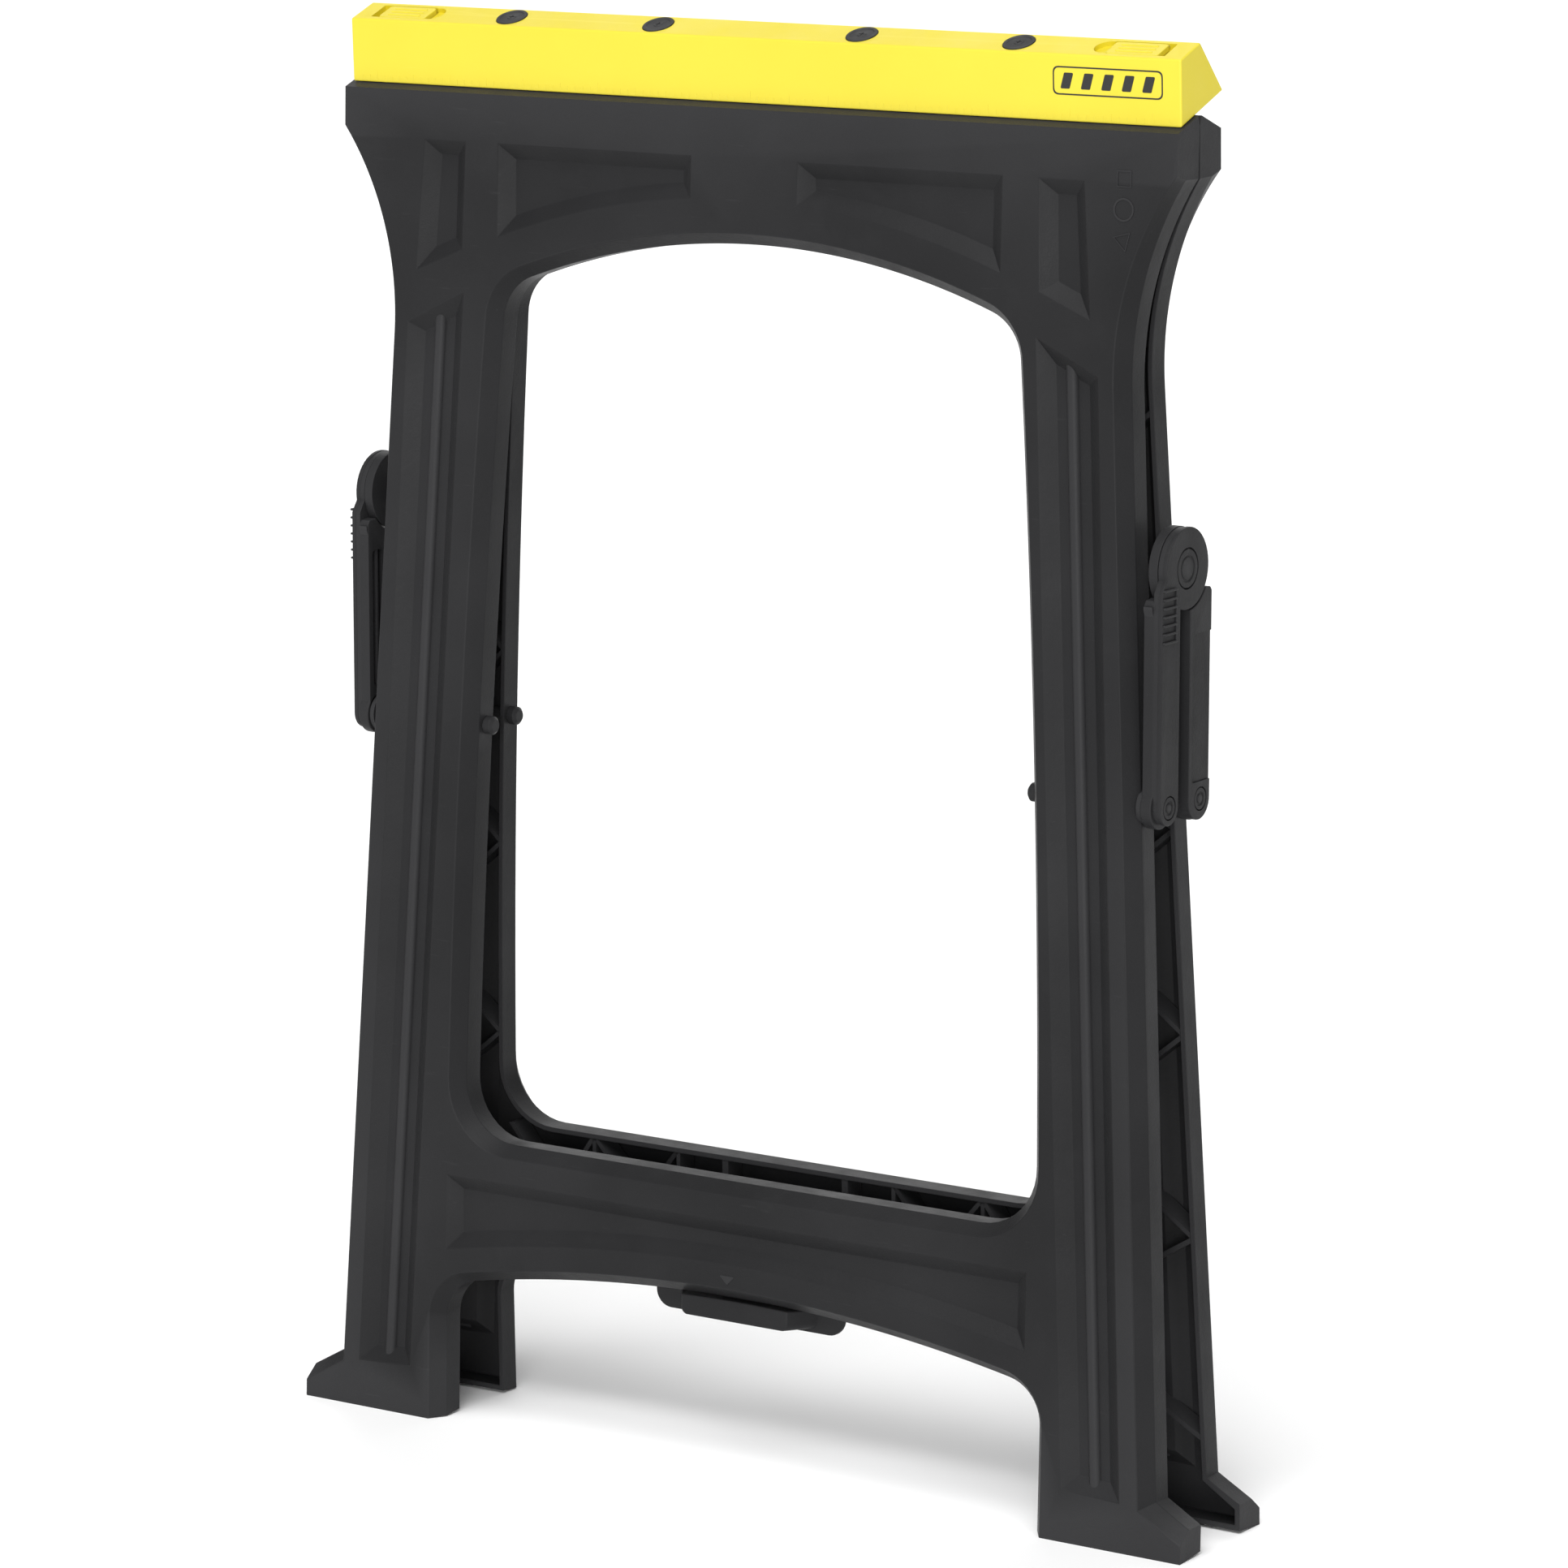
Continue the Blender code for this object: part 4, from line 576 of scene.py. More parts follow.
def ringed(bm, outline, levels, place):
    """Rings of one outline at several (inset, depth) levels, bridged one to the next."""
    rings = []
    for inset, depth in levels:
        verts = [bm.verts.new(place(point, depth)) for point in outline(inset, depth)]
        rings.append([bm.edges.new((verts[i - 1], verts[i])) for i in range(len(verts))])
    for lower, upper in zip(rings, rings[1:]):
        bmesh.ops.bridge_loops(bm, edges=lower + upper)
    return rings


def skin(levels, slope, wall):
    """One side of the moulding: flanks, chamfers, face and sunk panels."""
    bm = bmesh.new()
    face_edges = []
    for outline in (outer_outline, window_outline):
        rings = ringed(bm, lambda inset, depth, of=outline: of(inset, depth, wall), levels, lambda p, depth: p)
        face_edges += rings[-1]
    floors = []
    for i in range(len(sink_outlines())):
        rings = ringed(bm, lambda inset, depth, at=i: sink_outlines(inset)[at], slope,
                       lambda p, depth: (p[0], -depth - RIM, -p[1] - HINGE_ABOVE_TOP))
        face_edges += rings[0]
        floors.append(rings[-1])
    bmesh.ops.triangle_fill(bm, use_beauty=True, edges=face_edges)
    for floor in floors:
        bmesh.ops.triangle_fill(bm, use_beauty=True, edges=floor)
    return bm


def panel_shell():
    """The closed moulding: outer skin, inner skin and the rim between them."""
    corner = [(0, -2), (0, DEPTH - CHAMFER_DEEP), (CHAMFER_WIDE, DEPTH), (CHAMFER_WIDE + 3, DEPTH)]
    levels = [(0.5, 0), (0.15, 0.15), (0, 0.5)] + rounded(corner, EDGE_ROUND)[1:-1]
    low = DEPTH - SINK_DEPTH
    slope = rounded([(-2, DEPTH), (0, DEPTH), (SINK_SLOPE, low), (SINK_SLOPE + 2, low)], EDGE_ROUND)[1:-1]
    outside = skin(levels, slope, 0)
    inner_levels = [(WALL - 0.5, 0), (WALL, 0.5), (WALL, DEPTH - CHAMFER_DEEP - 1),
                    (CHAMFER_WIDE + 1.6, DEPTH - WALL)]
    inside = skin(inner_levels, [(0, DEPTH - WALL), (SINK_SLOPE, low - WALL)], WALL)
    bmesh.ops.reverse_faces(inside, faces=inside.faces)
    shell = joined(outside, inside)
    rim = [e for e in shell.edges if e.is_boundary and all(abs(v.co.y + RIM) < 1e-4 for v in e.verts)]
    window = [e for e in rim if all(is_by_window(v.co) for v in e.verts)]
    outer = [e for e in rim if e not in set(window)]
    for edges in (window, outer):
        bmesh.ops.bridge_loops(shell, edges=edges)
    bmesh.ops.recalc_face_normals(shell, faces=shell.faces)
    return shell


def is_by_window(point):
    """Whether a rim point belongs to the window's edge and not to the outer one."""
    x, drop = abs(point.x - WINDOW_SHIFT), -point.z - HINGE_ABOVE_TOP
    reach = WINDOW_HALF + WINDOW_FLARE * (drop - WINDOW_REFERENCE) + 12.5
    return x < reach and WINDOW_APEX - 9 < drop < WINDOW_SILL + 10


def post_ridges():
    """Half-round stiffeners down the middle of the two long sinks, running into their end slopes."""
    top = Vector(POST_SINK[0]).lerp(Vector(POST_SINK[1]), 0.5) + Vector((0, RIDGE_END))
    low = Vector(POST_SINK[2]).lerp(Vector(POST_SINK[3]), 0.5) - Vector((0, RIDGE_END))
    run = low - top
    half = RIDGE_WIDE / 2
    floor = -(DEPTH - SINK_DEPTH) - RIM
    crown = [(x, floor - y * RIDGE_HIGH / half) for x, y in arc(0, 0, half, 0, pi, 16)]
    found = []
    for side in (-1, 1):
        bar = prism("Z", [(half + 0.6, floor + 0.5)] + crown + [(-half - 0.6, floor + 0.5)], -run.length, 0)
        place = (Matrix.Translation((side * top.x, 0, -top.y - HINGE_ABOVE_TOP))
                 @ Matrix.Rotation(-side * atan2(run.x, run.y), 4, "Y"))
        bmesh.ops.transform(bar, matrix=place, verts=bar.verts)
        found.append(bar)
    return found


def rib(corners, near=0.8, far=DEPTH - 7.5):
    """A rib over four (x, drop) corners that lie inside the walls."""
    return prism("Y", [(x, -drop - HINGE_ABOVE_TOP) for x, drop in corners], -near - RIM, -far - RIM)


def post_x(side, drop, inner):
    """The middle of a post's inner or outer wall at a drop."""
    middle_wall = WALL / 2
    if not inner:
        return side * (WAIST_HALF + POST_FLARE * (drop - WAIST_DROP) - middle_wall)
    if drop > UNDER_APEX + 35:
        return side * (FOOT_INNER + middle_wall)
    if drop > WINDOW_SILL:
        return side * SILL_END
    top, low = 105, 594
    bow = max(0, 4 * WINDOW_BOW * (drop - top) * (low - drop) / (low - top) ** 2)
    edge = WINDOW_HALF + WINDOW_FLARE * (drop - WINDOW_REFERENCE) + bow + middle_wall
    return side * edge + WINDOW_SHIFT


def panel_ribs():
    """The zigzag ribs in the posts, crossed ribs in the crossbar and straight ribs in the header."""
    found = []
    half = 1.6
    sill = WINDOW_SILL + WALL / 2
    for side in (-1, 1):
        drops = [POST_RIB_TOP + POST_RIB_STEP * i for i in range(11)]
        for i, (high, low) in enumerate(zip(drops, drops[1:])):
            a, b = (high, low) if i % 2 else (low, high)
            inner = [(post_x(side, a + turn * half, True), a + turn * half) for turn in (-1, 1)]
            outer = [(post_x(side, b + turn * half, False), b + turn * half) for turn in (-1, 1)]
            found.append(rib([inner[0], outer[0], outer[1], inner[1]]))
        for i in range(2):
            x0 = side * (SILL_RIB_START + SILL_RIB_BAY * i)
            x1 = x0 + side * SILL_RIB_BAY
            for first, second in ((x0, x1), (x1, x0)):
                found.append(rib([(first - half, sill), (first + half, sill),
                                  (second + half, under(second) - 1.5), (second - half, under(second) - 1.5)]))
            found.append(rib([(x0 - 1.2, sill), (x0 + 1.2, sill),
                              (x0 + 1.2, under(x0) - 1.5), (x0 - 1.2, under(x0) - 1.5)]))
        found.append(rib([(side * 38, sill), (side * 42, sill),
                          (side * 42, under(42) - 1.5), (side * 38, under(38) - 1.5)]))
    for x in (-230, -159, -88, 88, 159, 230):
        arch = WINDOW_APEX + WINDOW_ARCH - sqrt(WINDOW_ARCH ** 2 - (x - WINDOW_SHIFT) ** 2)
        low = 118 if abs(x) > 200 else arch - 1.5
        found.append(rib([(x - 1.2, -1), (x + 1.2, -1), (x + 1.2, low), (x - 1.2, low)], 2.5))
    return found


def under(x):
    """Drop of the underside's arch."""
    return UNDER_APEX + UNDER_RADIUS - sqrt(UNDER_RADIUS ** 2 - x ** 2)


def window_side(drop):
    """Half width of the window at a drop between its fillets."""
    points = window_half(0)[FILLET_STEPS + 1:FILLET_STEPS + SIDE_STEPS + 2]
    for (x0, d0), (x1, d1) in zip(points, points[1:]):
        if d1 <= drop <= d0:
            return x0 + (x1 - x0) * (drop - d0) / (d1 - d0)
    return points[0][0]


def barrels(places):
    """Hinge barrels with the blocks that join them to the header."""
    found = []
    for x in places:
        found.append(softened(rod("X", x - 15, x + 15, 4.4, (0, 0), 32), 0.4, 2))
        found.append(box((x - 14.8, -10, -4.1), (x + 14.8, -0.4, 1.6)))
    return found


FRONT_BARRELS = (-205, -65, 65, 205)
REAR_BARRELS = (-135, 0, 135)


def leg_panel(name, where, body, node_name, own, other):
    """A panel with its own barrels, cleared for the other panel's barrels, the pivots and the latch."""
    shell = panel_shell()
    wedge = -9 * tan(OPEN_LEAN) - RIM
    tools = [prism("X", [(9 * tan(OPEN_LEAN) - RIM, -9), (9, -9), (9, 9), (wedge, 9)], -280, 280)]
    outline = arc(0, 0, 5, -pi, 0, 16) + [(5, 12), (-5, 12)]
    cutters = [prism("X", outline, x - 15.6, x + 15.6) for x in other]
    for side in (-1, 1):
        cutters.append(rod("X", side * 150, side * 262, 4.35, PIVOT_LINE))
    cutters.append(box((-15.5, -11.5, -UNDER_APEX - 12), (15.5, 3, -UNDER_APEX + 7)))
    shell = cut(cut(shell, *tools), *cutters)
    extras = post_ridges() + panel_ribs() + barrels(own)
    for side in (-1, 1):
        flank = WAIST_HALF + POST_FLARE * (PIVOT_DROP - HINGE_ABOVE_TOP - WAIST_DROP)
        extras.append(cut(rod("X", side * (flank - 1.5), side * 252.8, 10.5, PIVOT_LINE, 48),
                          rod("X", side * 230, side * 262, 4.35, PIVOT_LINE)))
    joined(shell, *extras)
    finish(name, shell, body, "black", (node_name,), where)


leg_panel("front_panel_moulding", FRONT, "front_frame", "front_leg_panel", FRONT_BARRELS, REAR_BARRELS)
leg_panel("rear_panel_moulding", REAR, "rear_frame", "rear_leg_panel", REAR_BARRELS, FRONT_BARRELS)


# ------------------------------------------------------------------ work beam

def front_slope():
    """How far the beam's front face leans back per unit of height."""
    return BEAM_TOP_START / BEAM_HIGH


def beam_hollows():
    """The cavities under the beam, between its end walls and ribs."""
    front, rear = front_slope(), (BEAM_BASE - BEAM_TOP_START - BEAM_TOP_WIDE) / BEAM_HIGH
    front_wall, rear_wall = BEAM_WALL * sqrt(1 + front ** 2), BEAM_WALL * sqrt(1 + rear ** 2)
    edges = [-BEAM_HALF + 1.6, *BEAM_RIBS, BEAM_HALF - 1.6]
    found = []
    for x0, x1 in zip(edges, edges[1:]):
        top = BEAM_HIGH - BEAM_WALL - (3.5 if max(abs(x0), abs(x1)) > STOP_INNER else 0)
        outline = [(front_wall - 5 * front, -5), (BEAM_BASE - rear_wall + 5 * rear, -5),
                   (BEAM_BASE - rear_wall - rear * top, top), (front_wall + front * top, top)]
        found.append(prism("X", outline, x0 + 1.2, x1 - 1.2))
    return found


def stop_recess(side):
    """The sinking for an end stop: a rounded well with a slot at its outer end."""
    half, near, far = STOP_HALF + 0.4, side * (STOP_INNER - 0.4), side * (STOP_OUTER + 4.5)
    well = rounded([(near, TOP_MIDDLE - half), (far, TOP_MIDDLE - half),
                    (far, TOP_MIDDLE + half), (near, TOP_MIDDLE + half)], 1.2, 4, True)
    return prism("Z", well, BEAM_HIGH - 3.5, BEAM_HIGH + 5)


def work_beam():
    outline = [(0, 0), (BEAM_BASE, 0), (BEAM_TOP_START + BEAM_TOP_WIDE, BEAM_HIGH), (BEAM_TOP_START, BEAM_HIGH)]
    beam = softened(prism("X", outline, -BEAM_HALF, BEAM_HALF), 1.1, 4)
    beam = cut(beam, *beam_hollows())
    wells = [rod("Z", BEAM_HIGH - 1.5, BEAM_HIGH + 5, 9.1, (x, TOP_MIDDLE), 64) for x in PAD_PLACES]
    for side in (-1, 1):
        wells.append(stop_recess(side))
    beam = cut(beam, *wells)
    crescents = [rod("Z", BEAM_HIGH - 2.6, BEAM_HIGH + 5, 7, (side * 217, TOP_MIDDLE), 64) for side in (-1, 1)]
    beam = cut(beam, *crescents)
    finish("beam_moulding", beam, "front_frame", "yellow", ("top_beam",), BEAM)


def pads():
    """Turned rubber pads: rounded rim, shallow ring and a small crossed centre."""
    for i, x in enumerate(PAD_PLACES):
        top, low = BEAM_HIGH + 0.6, BEAM_HIGH - 1.2
        profile = rounded([(low, 8.8), (top, 8.8), (top, 6.9), (top - 0.45, 6.6), (top - 0.45, 2.7),
                           (top - 0.1, 2.5), (top - 0.1, 0.05)], 0.35, 3)
        pad = revolved("Z", profile, (x, TOP_MIDDLE))
        slots = [box((x - 1.9, TOP_MIDDLE - 0.3, top - 0.7), (x + 1.9, TOP_MIDDLE + 0.3, top + 1)),
                 box((x - 0.3, TOP_MIDDLE - 1.9, top - 0.7), (x + 0.3, TOP_MIDDLE + 1.9, top + 1))]
        pad = cut(pad, slots[0])
        pad = cut(pad, slots[1])
        finish(f"pad_{i + 1}", pad, "front_frame", "rubber", (f"beam_pad_{i + 1}",), BEAM)


def end_stops():
    """Flip-up plates with a rounded heel, finger ridges and a softened inner end."""
    for side, label in ((-1, "left"), (1, "right")):
        inner, outer = STOP_INNER + 0.2, STOP_OUTER - 0.1
        outline = rounded([(inner, TOP_MIDDLE - STOP_HALF), (outer, TOP_MIDDLE - STOP_HALF),
                           (outer, TOP_MIDDLE + STOP_HALF), (inner, TOP_MIDDLE + STOP_HALF)], 2.5, 5, True)
        plate = softened(prism("Z", outline, BEAM_HIGH - STOP_THICK, BEAM_HIGH), 0.5, 3)
        for row in (-3.6, 0, 3.6):
            low, high = TOP_MIDDLE + row - 0.5, TOP_MIDDLE + row + 0.5
            crest = rounded([(low, BEAM_HIGH - 0.3), (low + 0.2, BEAM_HIGH + 0.45),
                             (high - 0.2, BEAM_HIGH + 0.45), (high, BEAM_HIGH - 0.3)], 0.3)
            joined(plate, prism("X", crest, STOP_INNER + 5, STOP_OUTER - 5))
        if side < 0:
            mirrored(plate)
        finish(f"end_stop_plate_{label}", plate, f"end_stop_{label}", "yellow",
               (f"end_stop_{label}",), BEAM)


def on_front_face(bm):
    """Moves a shape drawn flat, x along and y up with z outward, onto the beam's front face."""
    slope = atan(front_slope())
    turn = Matrix.Rotation(pi / 2 - slope, 4, "X")
    bmesh.ops.transform(bm, matrix=turn, verts=bm.verts)
    return bm


def beam_scale():
    """Fine raised graduations along the lower edge of the beam's front face."""
    marks = bmesh.new()
    for i in range(-52, 53):
        high = 5.2 if i % 10 == 0 else 3.8 if i % 5 == 0 else 2.6
        x = i * 5
        joined(marks, box((x - 0.16, 1.6, -0.3), (x + 0.16, 1.6 + high, 0.14)))
    finish("beam_graduations", on_front_face(marks), "front_frame", "yellow", (), BEAM,
           weighted=False)


def beam_badge():
    """A plain printed panel: a rounded frame round five slanted bars."""
    low_x, high_x, low, high = 190, 256.2, 14, 29
    frame_outer = rounded([(low_x, low), (high_x, low), (high_x, high), (low_x, high)], 3.6, 8, True)
    thin = 0.8
    frame_inner = rounded([(low_x + thin, low + thin), (high_x - thin, low + thin),
                           (high_x - thin, high - thin), (low_x + thin, high - thin)], 3.1, 8, True)
    ring = cut(prism("Z", frame_outer, -0.3, 0.12), prism("Z", frame_inner, -2, 2))
    middle = (low + high) / 2
    marks = [ring]
    for i in range(5):
        x = 198.5 + i * 12.3
        bar = rounded([(x - 4, middle - 4.2), (x + 1.6, middle - 4.2), (x + 4, middle + 4.2),
                       (x - 1.6, middle + 4.2)], 0.8, 3, True)
        marks.append(prism("Z", bar, -0.3, 0.12))
    badge = joined(bmesh.new(), *marks)
    finish("beam_printed_panel", on_front_face(badge), "front_frame", "ink", (), BEAM,
           weighted=False)


work_beam()
pads()
end_stops()
beam_scale()
beam_badge()


# ------------------------------------------------------------------ side braces
# Drawn on the right side, (y, z) from the knuckle, and mirrored for the left.

def arm_plan(inner_edge, toward, inset, top, eye):
    """Outline of one layer of an arm. With an eye it runs round the knuckle, without one it stops short."""
    outer = PIVOT_OFF + ARM_OUTER - inset
    inner = PIVOT_OFF - inner_edge + inset
    reach = EYE - inset if eye else EYE + 0.9
    start = atan2(-sqrt(reach ** 2 - inner ** 2), inner)
    if eye:
        stop = asin(-4 / reach)
        points = list(reversed(arc(0, 0, reach, stop, 2 * pi + start, 40)))
        points += [(outer - 2.6, -6.5), (outer, -10.5)]
    else:
        stop = asin(max(-1, -top / reach))
        points = arc(0, 0, reach, start, stop, 12)
        points += [(outer - 1.5, -top - 0.6), (outer, -top - 2.6)]
    radius = (ARM_OUTER + inner_edge) / 2 - inset
    points += [(outer, PIVOT_LOW)] + arc(outer - radius, PIVOT_LOW, radius, 0, -pi, 18)[1:]
    return [(toward * y, z) for y, z in points]


def sunk_strip(toward, low_y, high_y, top, low, start, end):
    """A rounded sinking along an arm."""
    near, far = toward * low_y, toward * high_y
    return prism("X", rounded([(near, top), (far, top), (far, low), (near, low)], 2.5, 5, True), start, end)


def pivot_well(toward):
    """The counterbore round an arm's lower pivot."""
    return rod("X", BRACE_OUT - 1.6, BRACE_OUT + 5, 6.6, (toward * PIVOT_OFF, PIVOT_LOW), 48)


def end_boss(toward):
    """The round boss that stands proud of an arm's edge at its lower pivot."""
    return softened(rod("X", BRACE_IN, BRACE_IN + 6.6, 11.9, (toward * PIVOT_OFF, PIVOT_LOW), 56), 0.9, 3)


def front_arm():
    """The front arm: outer and middle plates round the knuckle, body with a sunk strip, grip ribs."""
    outer = softened(prism("X", arm_plan(FRONT_ARM_INNER, -1, 0, 0, True), 262, BRACE_OUT), 0.55, 3)
    outer = cut(outer, rod("X", BRACE_OUT - 1.6, BRACE_OUT + 5, 11.2, (0, 0), 64), pivot_well(-1))
    lower = softened(prism("X", arm_plan(FRONT_ARM_INNER, -1, 0.35, 0, True), 259.1, 262.3), 0.35, 2)
    body = softened(prism("X", arm_plan(FRONT_ARM_INNER, -1, 0.2, 14, False), BRACE_IN, 259.6), 0.5, 3)
    body = cut(body, sunk_strip(-1, PIVOT_OFF - 5.2, PIVOT_OFF + 5.6, -32, PIVOT_LOW + 16, BRACE_IN - 2, 257))
    spine = sunk_strip(-1, PIVOT_OFF - 0.9, PIVOT_OFF + 0.9, -31, PIVOT_LOW + 15, 254.2, 257.5)
    spine = softened(spine, 0.3, 2)
    catch = [(-PIVOT_OFF - y, z) for y, z in ((8, -19), (10.9, -17.5), (10.6, -19.8), (9, -24))]
    lip = softened(prism("X", catch, BRACE_IN + 0.2, 259), 0.25, 2)
    arm = joined(outer, lower, body, spine, lip, end_boss(-1))
    edge = -(PIVOT_OFF + ARM_OUTER)
    for i in range(GRIP_RIBS):
        high = GRIP_TOP - i * GRIP_PITCH
        ridge = box((BRACE_OUT - 0.6, edge + 0.5, high - 1.3), (BRACE_OUT + 1.7, edge + GRIP_WIDE, high))
        joined(arm, softened(ridge, 0.55, 3))
    low = GRIP_TOP - (GRIP_RIBS - 1) * GRIP_PITCH - 0.9
    border = box((BRACE_OUT - 0.6, edge + GRIP_WIDE - 0.8, low),
                 (BRACE_OUT + 0.8, edge + GRIP_WIDE + 0.2, GRIP_TOP))
    joined(arm, softened(border, 0.22, 2))
    return arm


def rear_arm():
    """The rear arm: inner plate round the knuckle and an outer body that stops short of it."""
    inner = softened(prism("X", arm_plan(REAR_ARM_INNER, 1, 0, 0, True), BRACE_IN, 258.8), 0.5, 3)
    inner = cut(inner, sunk_strip(1, PIVOT_OFF - 8, PIVOT_OFF + 5.6, -32, PIVOT_LOW + 16, BRACE_IN - 2, 256.4))
    spine = softened(sunk_strip(1, PIVOT_OFF - 2, PIVOT_OFF, -31, PIVOT_LOW + 15, 254, 257), 0.3, 2)
    outer = softened(prism("X", arm_plan(REAR_ARM_INNER, 1, 0, 12, False), 258.4, BRACE_OUT), 0.55, 3)
    outer = cut(outer, pivot_well(1),
                sunk_strip(1, PIVOT_OFF - 9.6, PIVOT_OFF + 12, -36, PIVOT_LOW + 9.5, BRACE_OUT - 0.9,
                           BRACE_OUT + 3))
    return joined(inner, spine, outer, end_boss(1))


def knuckle_disc():
    """The knuckle pin: a flush disc with a ring and a dished middle, a shank and an inner head."""
    out = BRACE_OUT
    profile = rounded([(250, 8), (253, 8), (253, 5), (262.3, 5), (262.3, 10.3), (out, 10.3), (out, 7.4),
                       (out - 0.5, 7.1), (out - 0.5, 6.2), (out, 5.9), (out, 0.05)], 0.35, 3)
    return revolved("X", profile)


def pivot_head(start, toward, shank=4.0):
    """The dished head of a lower pivot, with its shank from a start."""
    out = BRACE_OUT - 0.1
    profile = rounded([(start, shank), (262.3, shank), (262.3, 5.9), (out, 5.9), (out, 3.9), (out - 0.6, 3.6),
                       (out - 0.6, 2.6), (out - 0.1, 2.4), (out - 0.1, 0.05)], 0.3, 3)
    return revolved("X", profile, (toward * PIVOT_OFF, PIVOT_LOW))


def snap_pin(side, end):
    """A pivot through the post, with its snap nub inside the window."""
    flank = window_side(PIVOT_DROP - HINGE_ABOVE_TOP) + side * WINDOW_SHIFT
    profile = [(flank - 6.5, 3.4), (flank - 5, 5.2), (flank - 0.6, 5.2), (flank - 0.6, 4), (end, 4)]
    return rounded(profile, 0.5, 3)


def braces():
    """Arms, knuckle discs and pivots of both sides."""
    right = Matrix.Translation((0, KNUCKLE.y, KNUCKLE.z))
    for side, label in ((1, "right"), (-1, "left")):
        shapes = [("front_arm_plates", front_arm(), f"front_arm_{label}", f"front_arm_{label}"),
                  ("rear_arm_plates", rear_arm(), f"rear_arm_{label}", f"rear_arm_{label}"),
                  ("knuckle_disc", knuckle_disc(), f"front_arm_{label}", f"knuckle_pin_{label}"),
                  ("rear_head", pivot_head(253.6, 1), f"rear_arm_{label}", f"rear_pivot_head_{label}")]
        for name, shape, body, stands_for in shapes:
            if side < 0:
                mirrored(shape)
            finish(f"{name}_{label}", shape, body, "black", (stands_for,), right)
        front_pin = revolved("X", snap_pin(side, 262.3), PIVOT_LINE)
        head = pivot_head(262.0, -1)
        if side < 0:
            mirrored(front_pin)
            mirrored(head)
        bmesh.ops.transform(head, matrix=FRONT.inverted() @ right, verts=head.verts)
        finish(f"front_pivot_{label}", joined(front_pin, head), "front_frame", "black",
               (f"front_pivot_pin_{label}",), FRONT)
        rear_pin = revolved("X", snap_pin(-side, 252.4), PIVOT_LINE)
        if side > 0:
            mirrored(rear_pin)
        finish(f"rear_pivot_{label}", rear_pin, "rear_frame", "black",
               (f"rear_pivot_pin_{label}",), REAR)


braces()


# ------------------------------------------------------------------ latch

def latch_loop(bm, half, low, corner, depth):
    """A closed loop of edges: arched like the underside above, rounded corners below."""
    low += HINGE_ABOVE_TOP
    top = [(half * (1 - i / 8), under(half * (1 - i / 8)) + HINGE_ABOVE_TOP + 1.8) for i in range(17)]
    side = arc(half - corner, low - corner, corner, pi / 2, 0, 8)
    points = top + [(-x, drop) for x, drop in reversed(side)] + side
    verts = [bm.verts.new((x, -depth, -drop)) for x, drop in points]
    return [bm.edges.new((verts[i - 1], verts[i])) for i in range(len(verts))]


def lofted(loops):
    """A solid between latch loops."""
    bm = bmesh.new()
    rings = [latch_loop(bm, *loop) for loop in loops]
    for lower, upper in zip(rings, rings[1:]):
        bmesh.ops.bridge_loops(bm, edges=lower + upper)
    bmesh.ops.holes_fill(bm, edges=bm.edges, sides=0)
    bmesh.ops.recalc_face_normals(bm, faces=bm.faces)
    return bm


LATCH_PIN = (-4.5, -644)


def latch():
    """Back plate, tapered finger grip, hub on its pin and the hook that reaches the rear crossbar."""
    plate = softened(lofted([(62.7, 676, 10, -3.65), (62.7, 676, 10, -0.65)]), 0.6, 3)
    grip = softened(lofted([(46, 673.6, 4, -1.8), (35, 673.6, 4, 15)]), 0.8, 4)
    hub = softened(rod("X", -36.5, 36.5, 4.6, LATCH_PIN, 48), 0.5, 2)
    lug = softened(box((-12, -7.5, -UNDER_APEX - 8), (12, -1.5, LATCH_PIN[1])), 0.4, 2)
    high, tip = LATCH_PIN[1] + 4.2, 41
    outline = [(LATCH_PIN[0], high - 5), (tip, high - 5), (tip, high + 6), (tip - 3, high + 6), (tip - 3, high),
               (LATCH_PIN[0], high)]
    hook = softened(prism("X", outline, -9, 9), 0.5, 2)
    finish("latch_moulding", joined(plate, grip, hub, lug, hook), "latch", "black",
           ("latch",), FRONT)


latch()


# ------------------------------------------------------------------ moulded marks

FACE = -DEPTH - RIM


def crossbar_arrow():
    """A plain raised arrow over the latch, low on the crossbar's face."""
    outline = rounded([(-5, -647.1), (0, -652.1), (5, -647.1)], 0.4, 2, True)
    mark = prism("Y", outline, FACE - 0.25, FACE + 0.3)
    finish("crossbar_arrow", softened(mark, 0.08, 1), "front_frame", "black", (), FRONT)


def header_marks():
    """Plain moulded shapes at the right end of the header."""
    marks = []
    for drop, corners in ((28, 4), (44, 24), (60, 3)):
        stop = pi / 4 + 2 * pi * (1 - 1 / corners)
        outer, inner = (arc(237, -drop, radius, pi / 4, stop, corners - 1) for radius in (6.2, 5.2))
        marks.append(cut(prism("Y", outer, FACE - 0.35, FACE + 0.3), prism("Y", inner, -40, 0)))
    finish("header_marks", joined(bmesh.new(), *marks), "front_frame", "black", (), FRONT,
           weighted=False)


crossbar_arrow()
header_marks()


# ------------------------------------------------------------------ carried-over solids

def refinish():
    """Gives the solids that keep their own shape their finish."""
    steel = ["hinge_rod", "latch_pin", "latch_spring", "end_stop_pin_left", "end_stop_pin_right"]
    steel += [f"beam_screw_{i}" for i in range(1, 5)]
    for name in steel:
        mesh = frame["nodes"][name].data
        mesh.materials.clear()
        mesh.materials.append(MATERIALS["steel"])


refinish()


# ------------------------------------------------------------------ studio

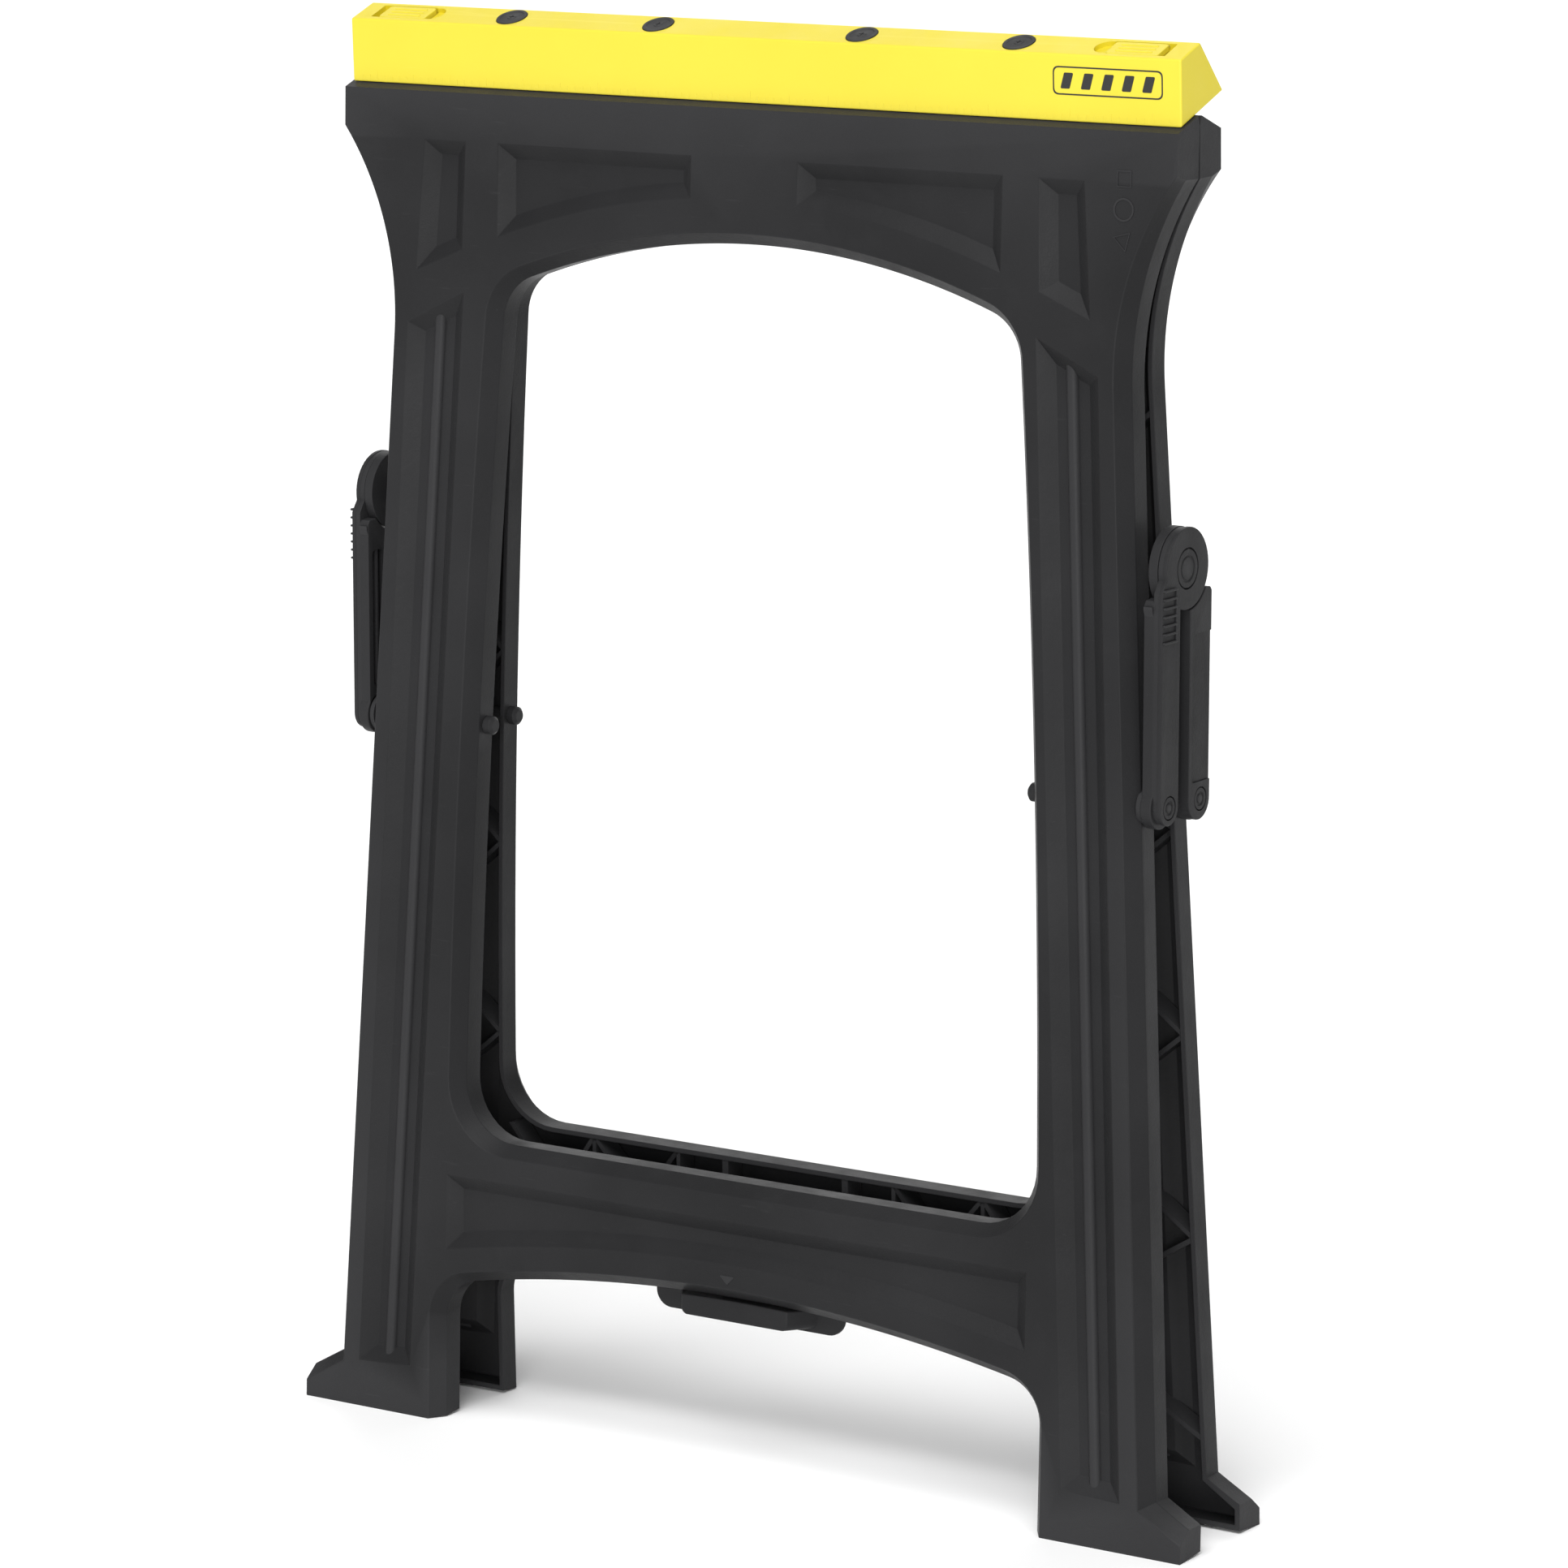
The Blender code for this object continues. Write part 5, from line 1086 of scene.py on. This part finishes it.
def studio():
    """A wide pale floor and an even sky."""
    floor = bmesh.new()
    bmesh.ops.create_grid(floor, x_segments=1, y_segments=1, size=30)
    mesh = bpy.data.meshes.new("floor")
    floor.to_mesh(mesh)
    floor.free()
    ground = bpy.data.objects.new("floor", mesh)
    bpy.context.scene.collection.objects.link(ground)
    pale = bpy.data.materials.new("pale_floor")
    pale.use_nodes = True
    shader = pale.node_tree.nodes["Principled BSDF"]
    shader.inputs["Base Color"].default_value = (0.97, 0.97, 0.97, 1)
    shader.inputs["Roughness"].default_value = 0.9
    mesh.materials.append(pale)
    world = bpy.data.worlds.new("studio")
    world.use_nodes = True
    world.node_tree.nodes["Background"].inputs["Color"].default_value = (1, 1, 1, 1)
    world.node_tree.nodes["Background"].inputs["Strength"].default_value = 0.25
    bpy.context.scene.world = world
    bpy.context.scene.view_settings.view_transform = "Standard"


def soft_sky(name, azimuth, elevation, width, strength):
    """A broad patch of even light, as from a large softbox. Azimuth runs from the front toward the right."""
    lamp = bpy.data.lights.new(name, "SUN")
    lamp.angle = radians(width)
    lamp.energy = strength
    holder = bpy.data.objects.new(name, lamp)
    bpy.context.scene.collection.objects.link(holder)
    turn, rise = radians(azimuth), radians(elevation)
    away = Vector((sin(turn) * cos(rise), -cos(turn) * cos(rise), sin(rise)))
    holder.location = away * 4
    holder.rotation_euler = (-away).to_track_quat("-Z", "Y").to_euler()


def camera():
    """The view from the front, to the right and a little above."""
    yaw, pitch, roll = radians(33.357), radians(10.863), radians(0.041)
    target = Vector((0.02565, -0.02215, 0.3916))
    forward = Vector((-sin(yaw) * cos(pitch), cos(yaw) * cos(pitch), -sin(pitch)))
    lens = bpy.data.cameras.new("view")
    lens.lens = 148.58
    lens.sensor_width = 36
    lens.clip_end = 100
    holder = bpy.data.objects.new("view", lens)
    bpy.context.scene.collection.objects.link(holder)
    turn = forward.to_track_quat("-Z", "Y") @ Matrix.Rotation(roll, 3, "Z").to_quaternion()
    holder.location = target - forward * 3.5306
    holder.rotation_euler = turn.to_euler()
    bpy.context.scene.camera = holder


studio()
soft_sky("key_light", 18, 58, 50, 2.7)
soft_sky("left_light", -36, 6, 50, 0.3)
soft_sky("front_light", 27, 8, 24, 1.8)
soft_sky("back_light", 196, 34, 60, 1.1)
camera()
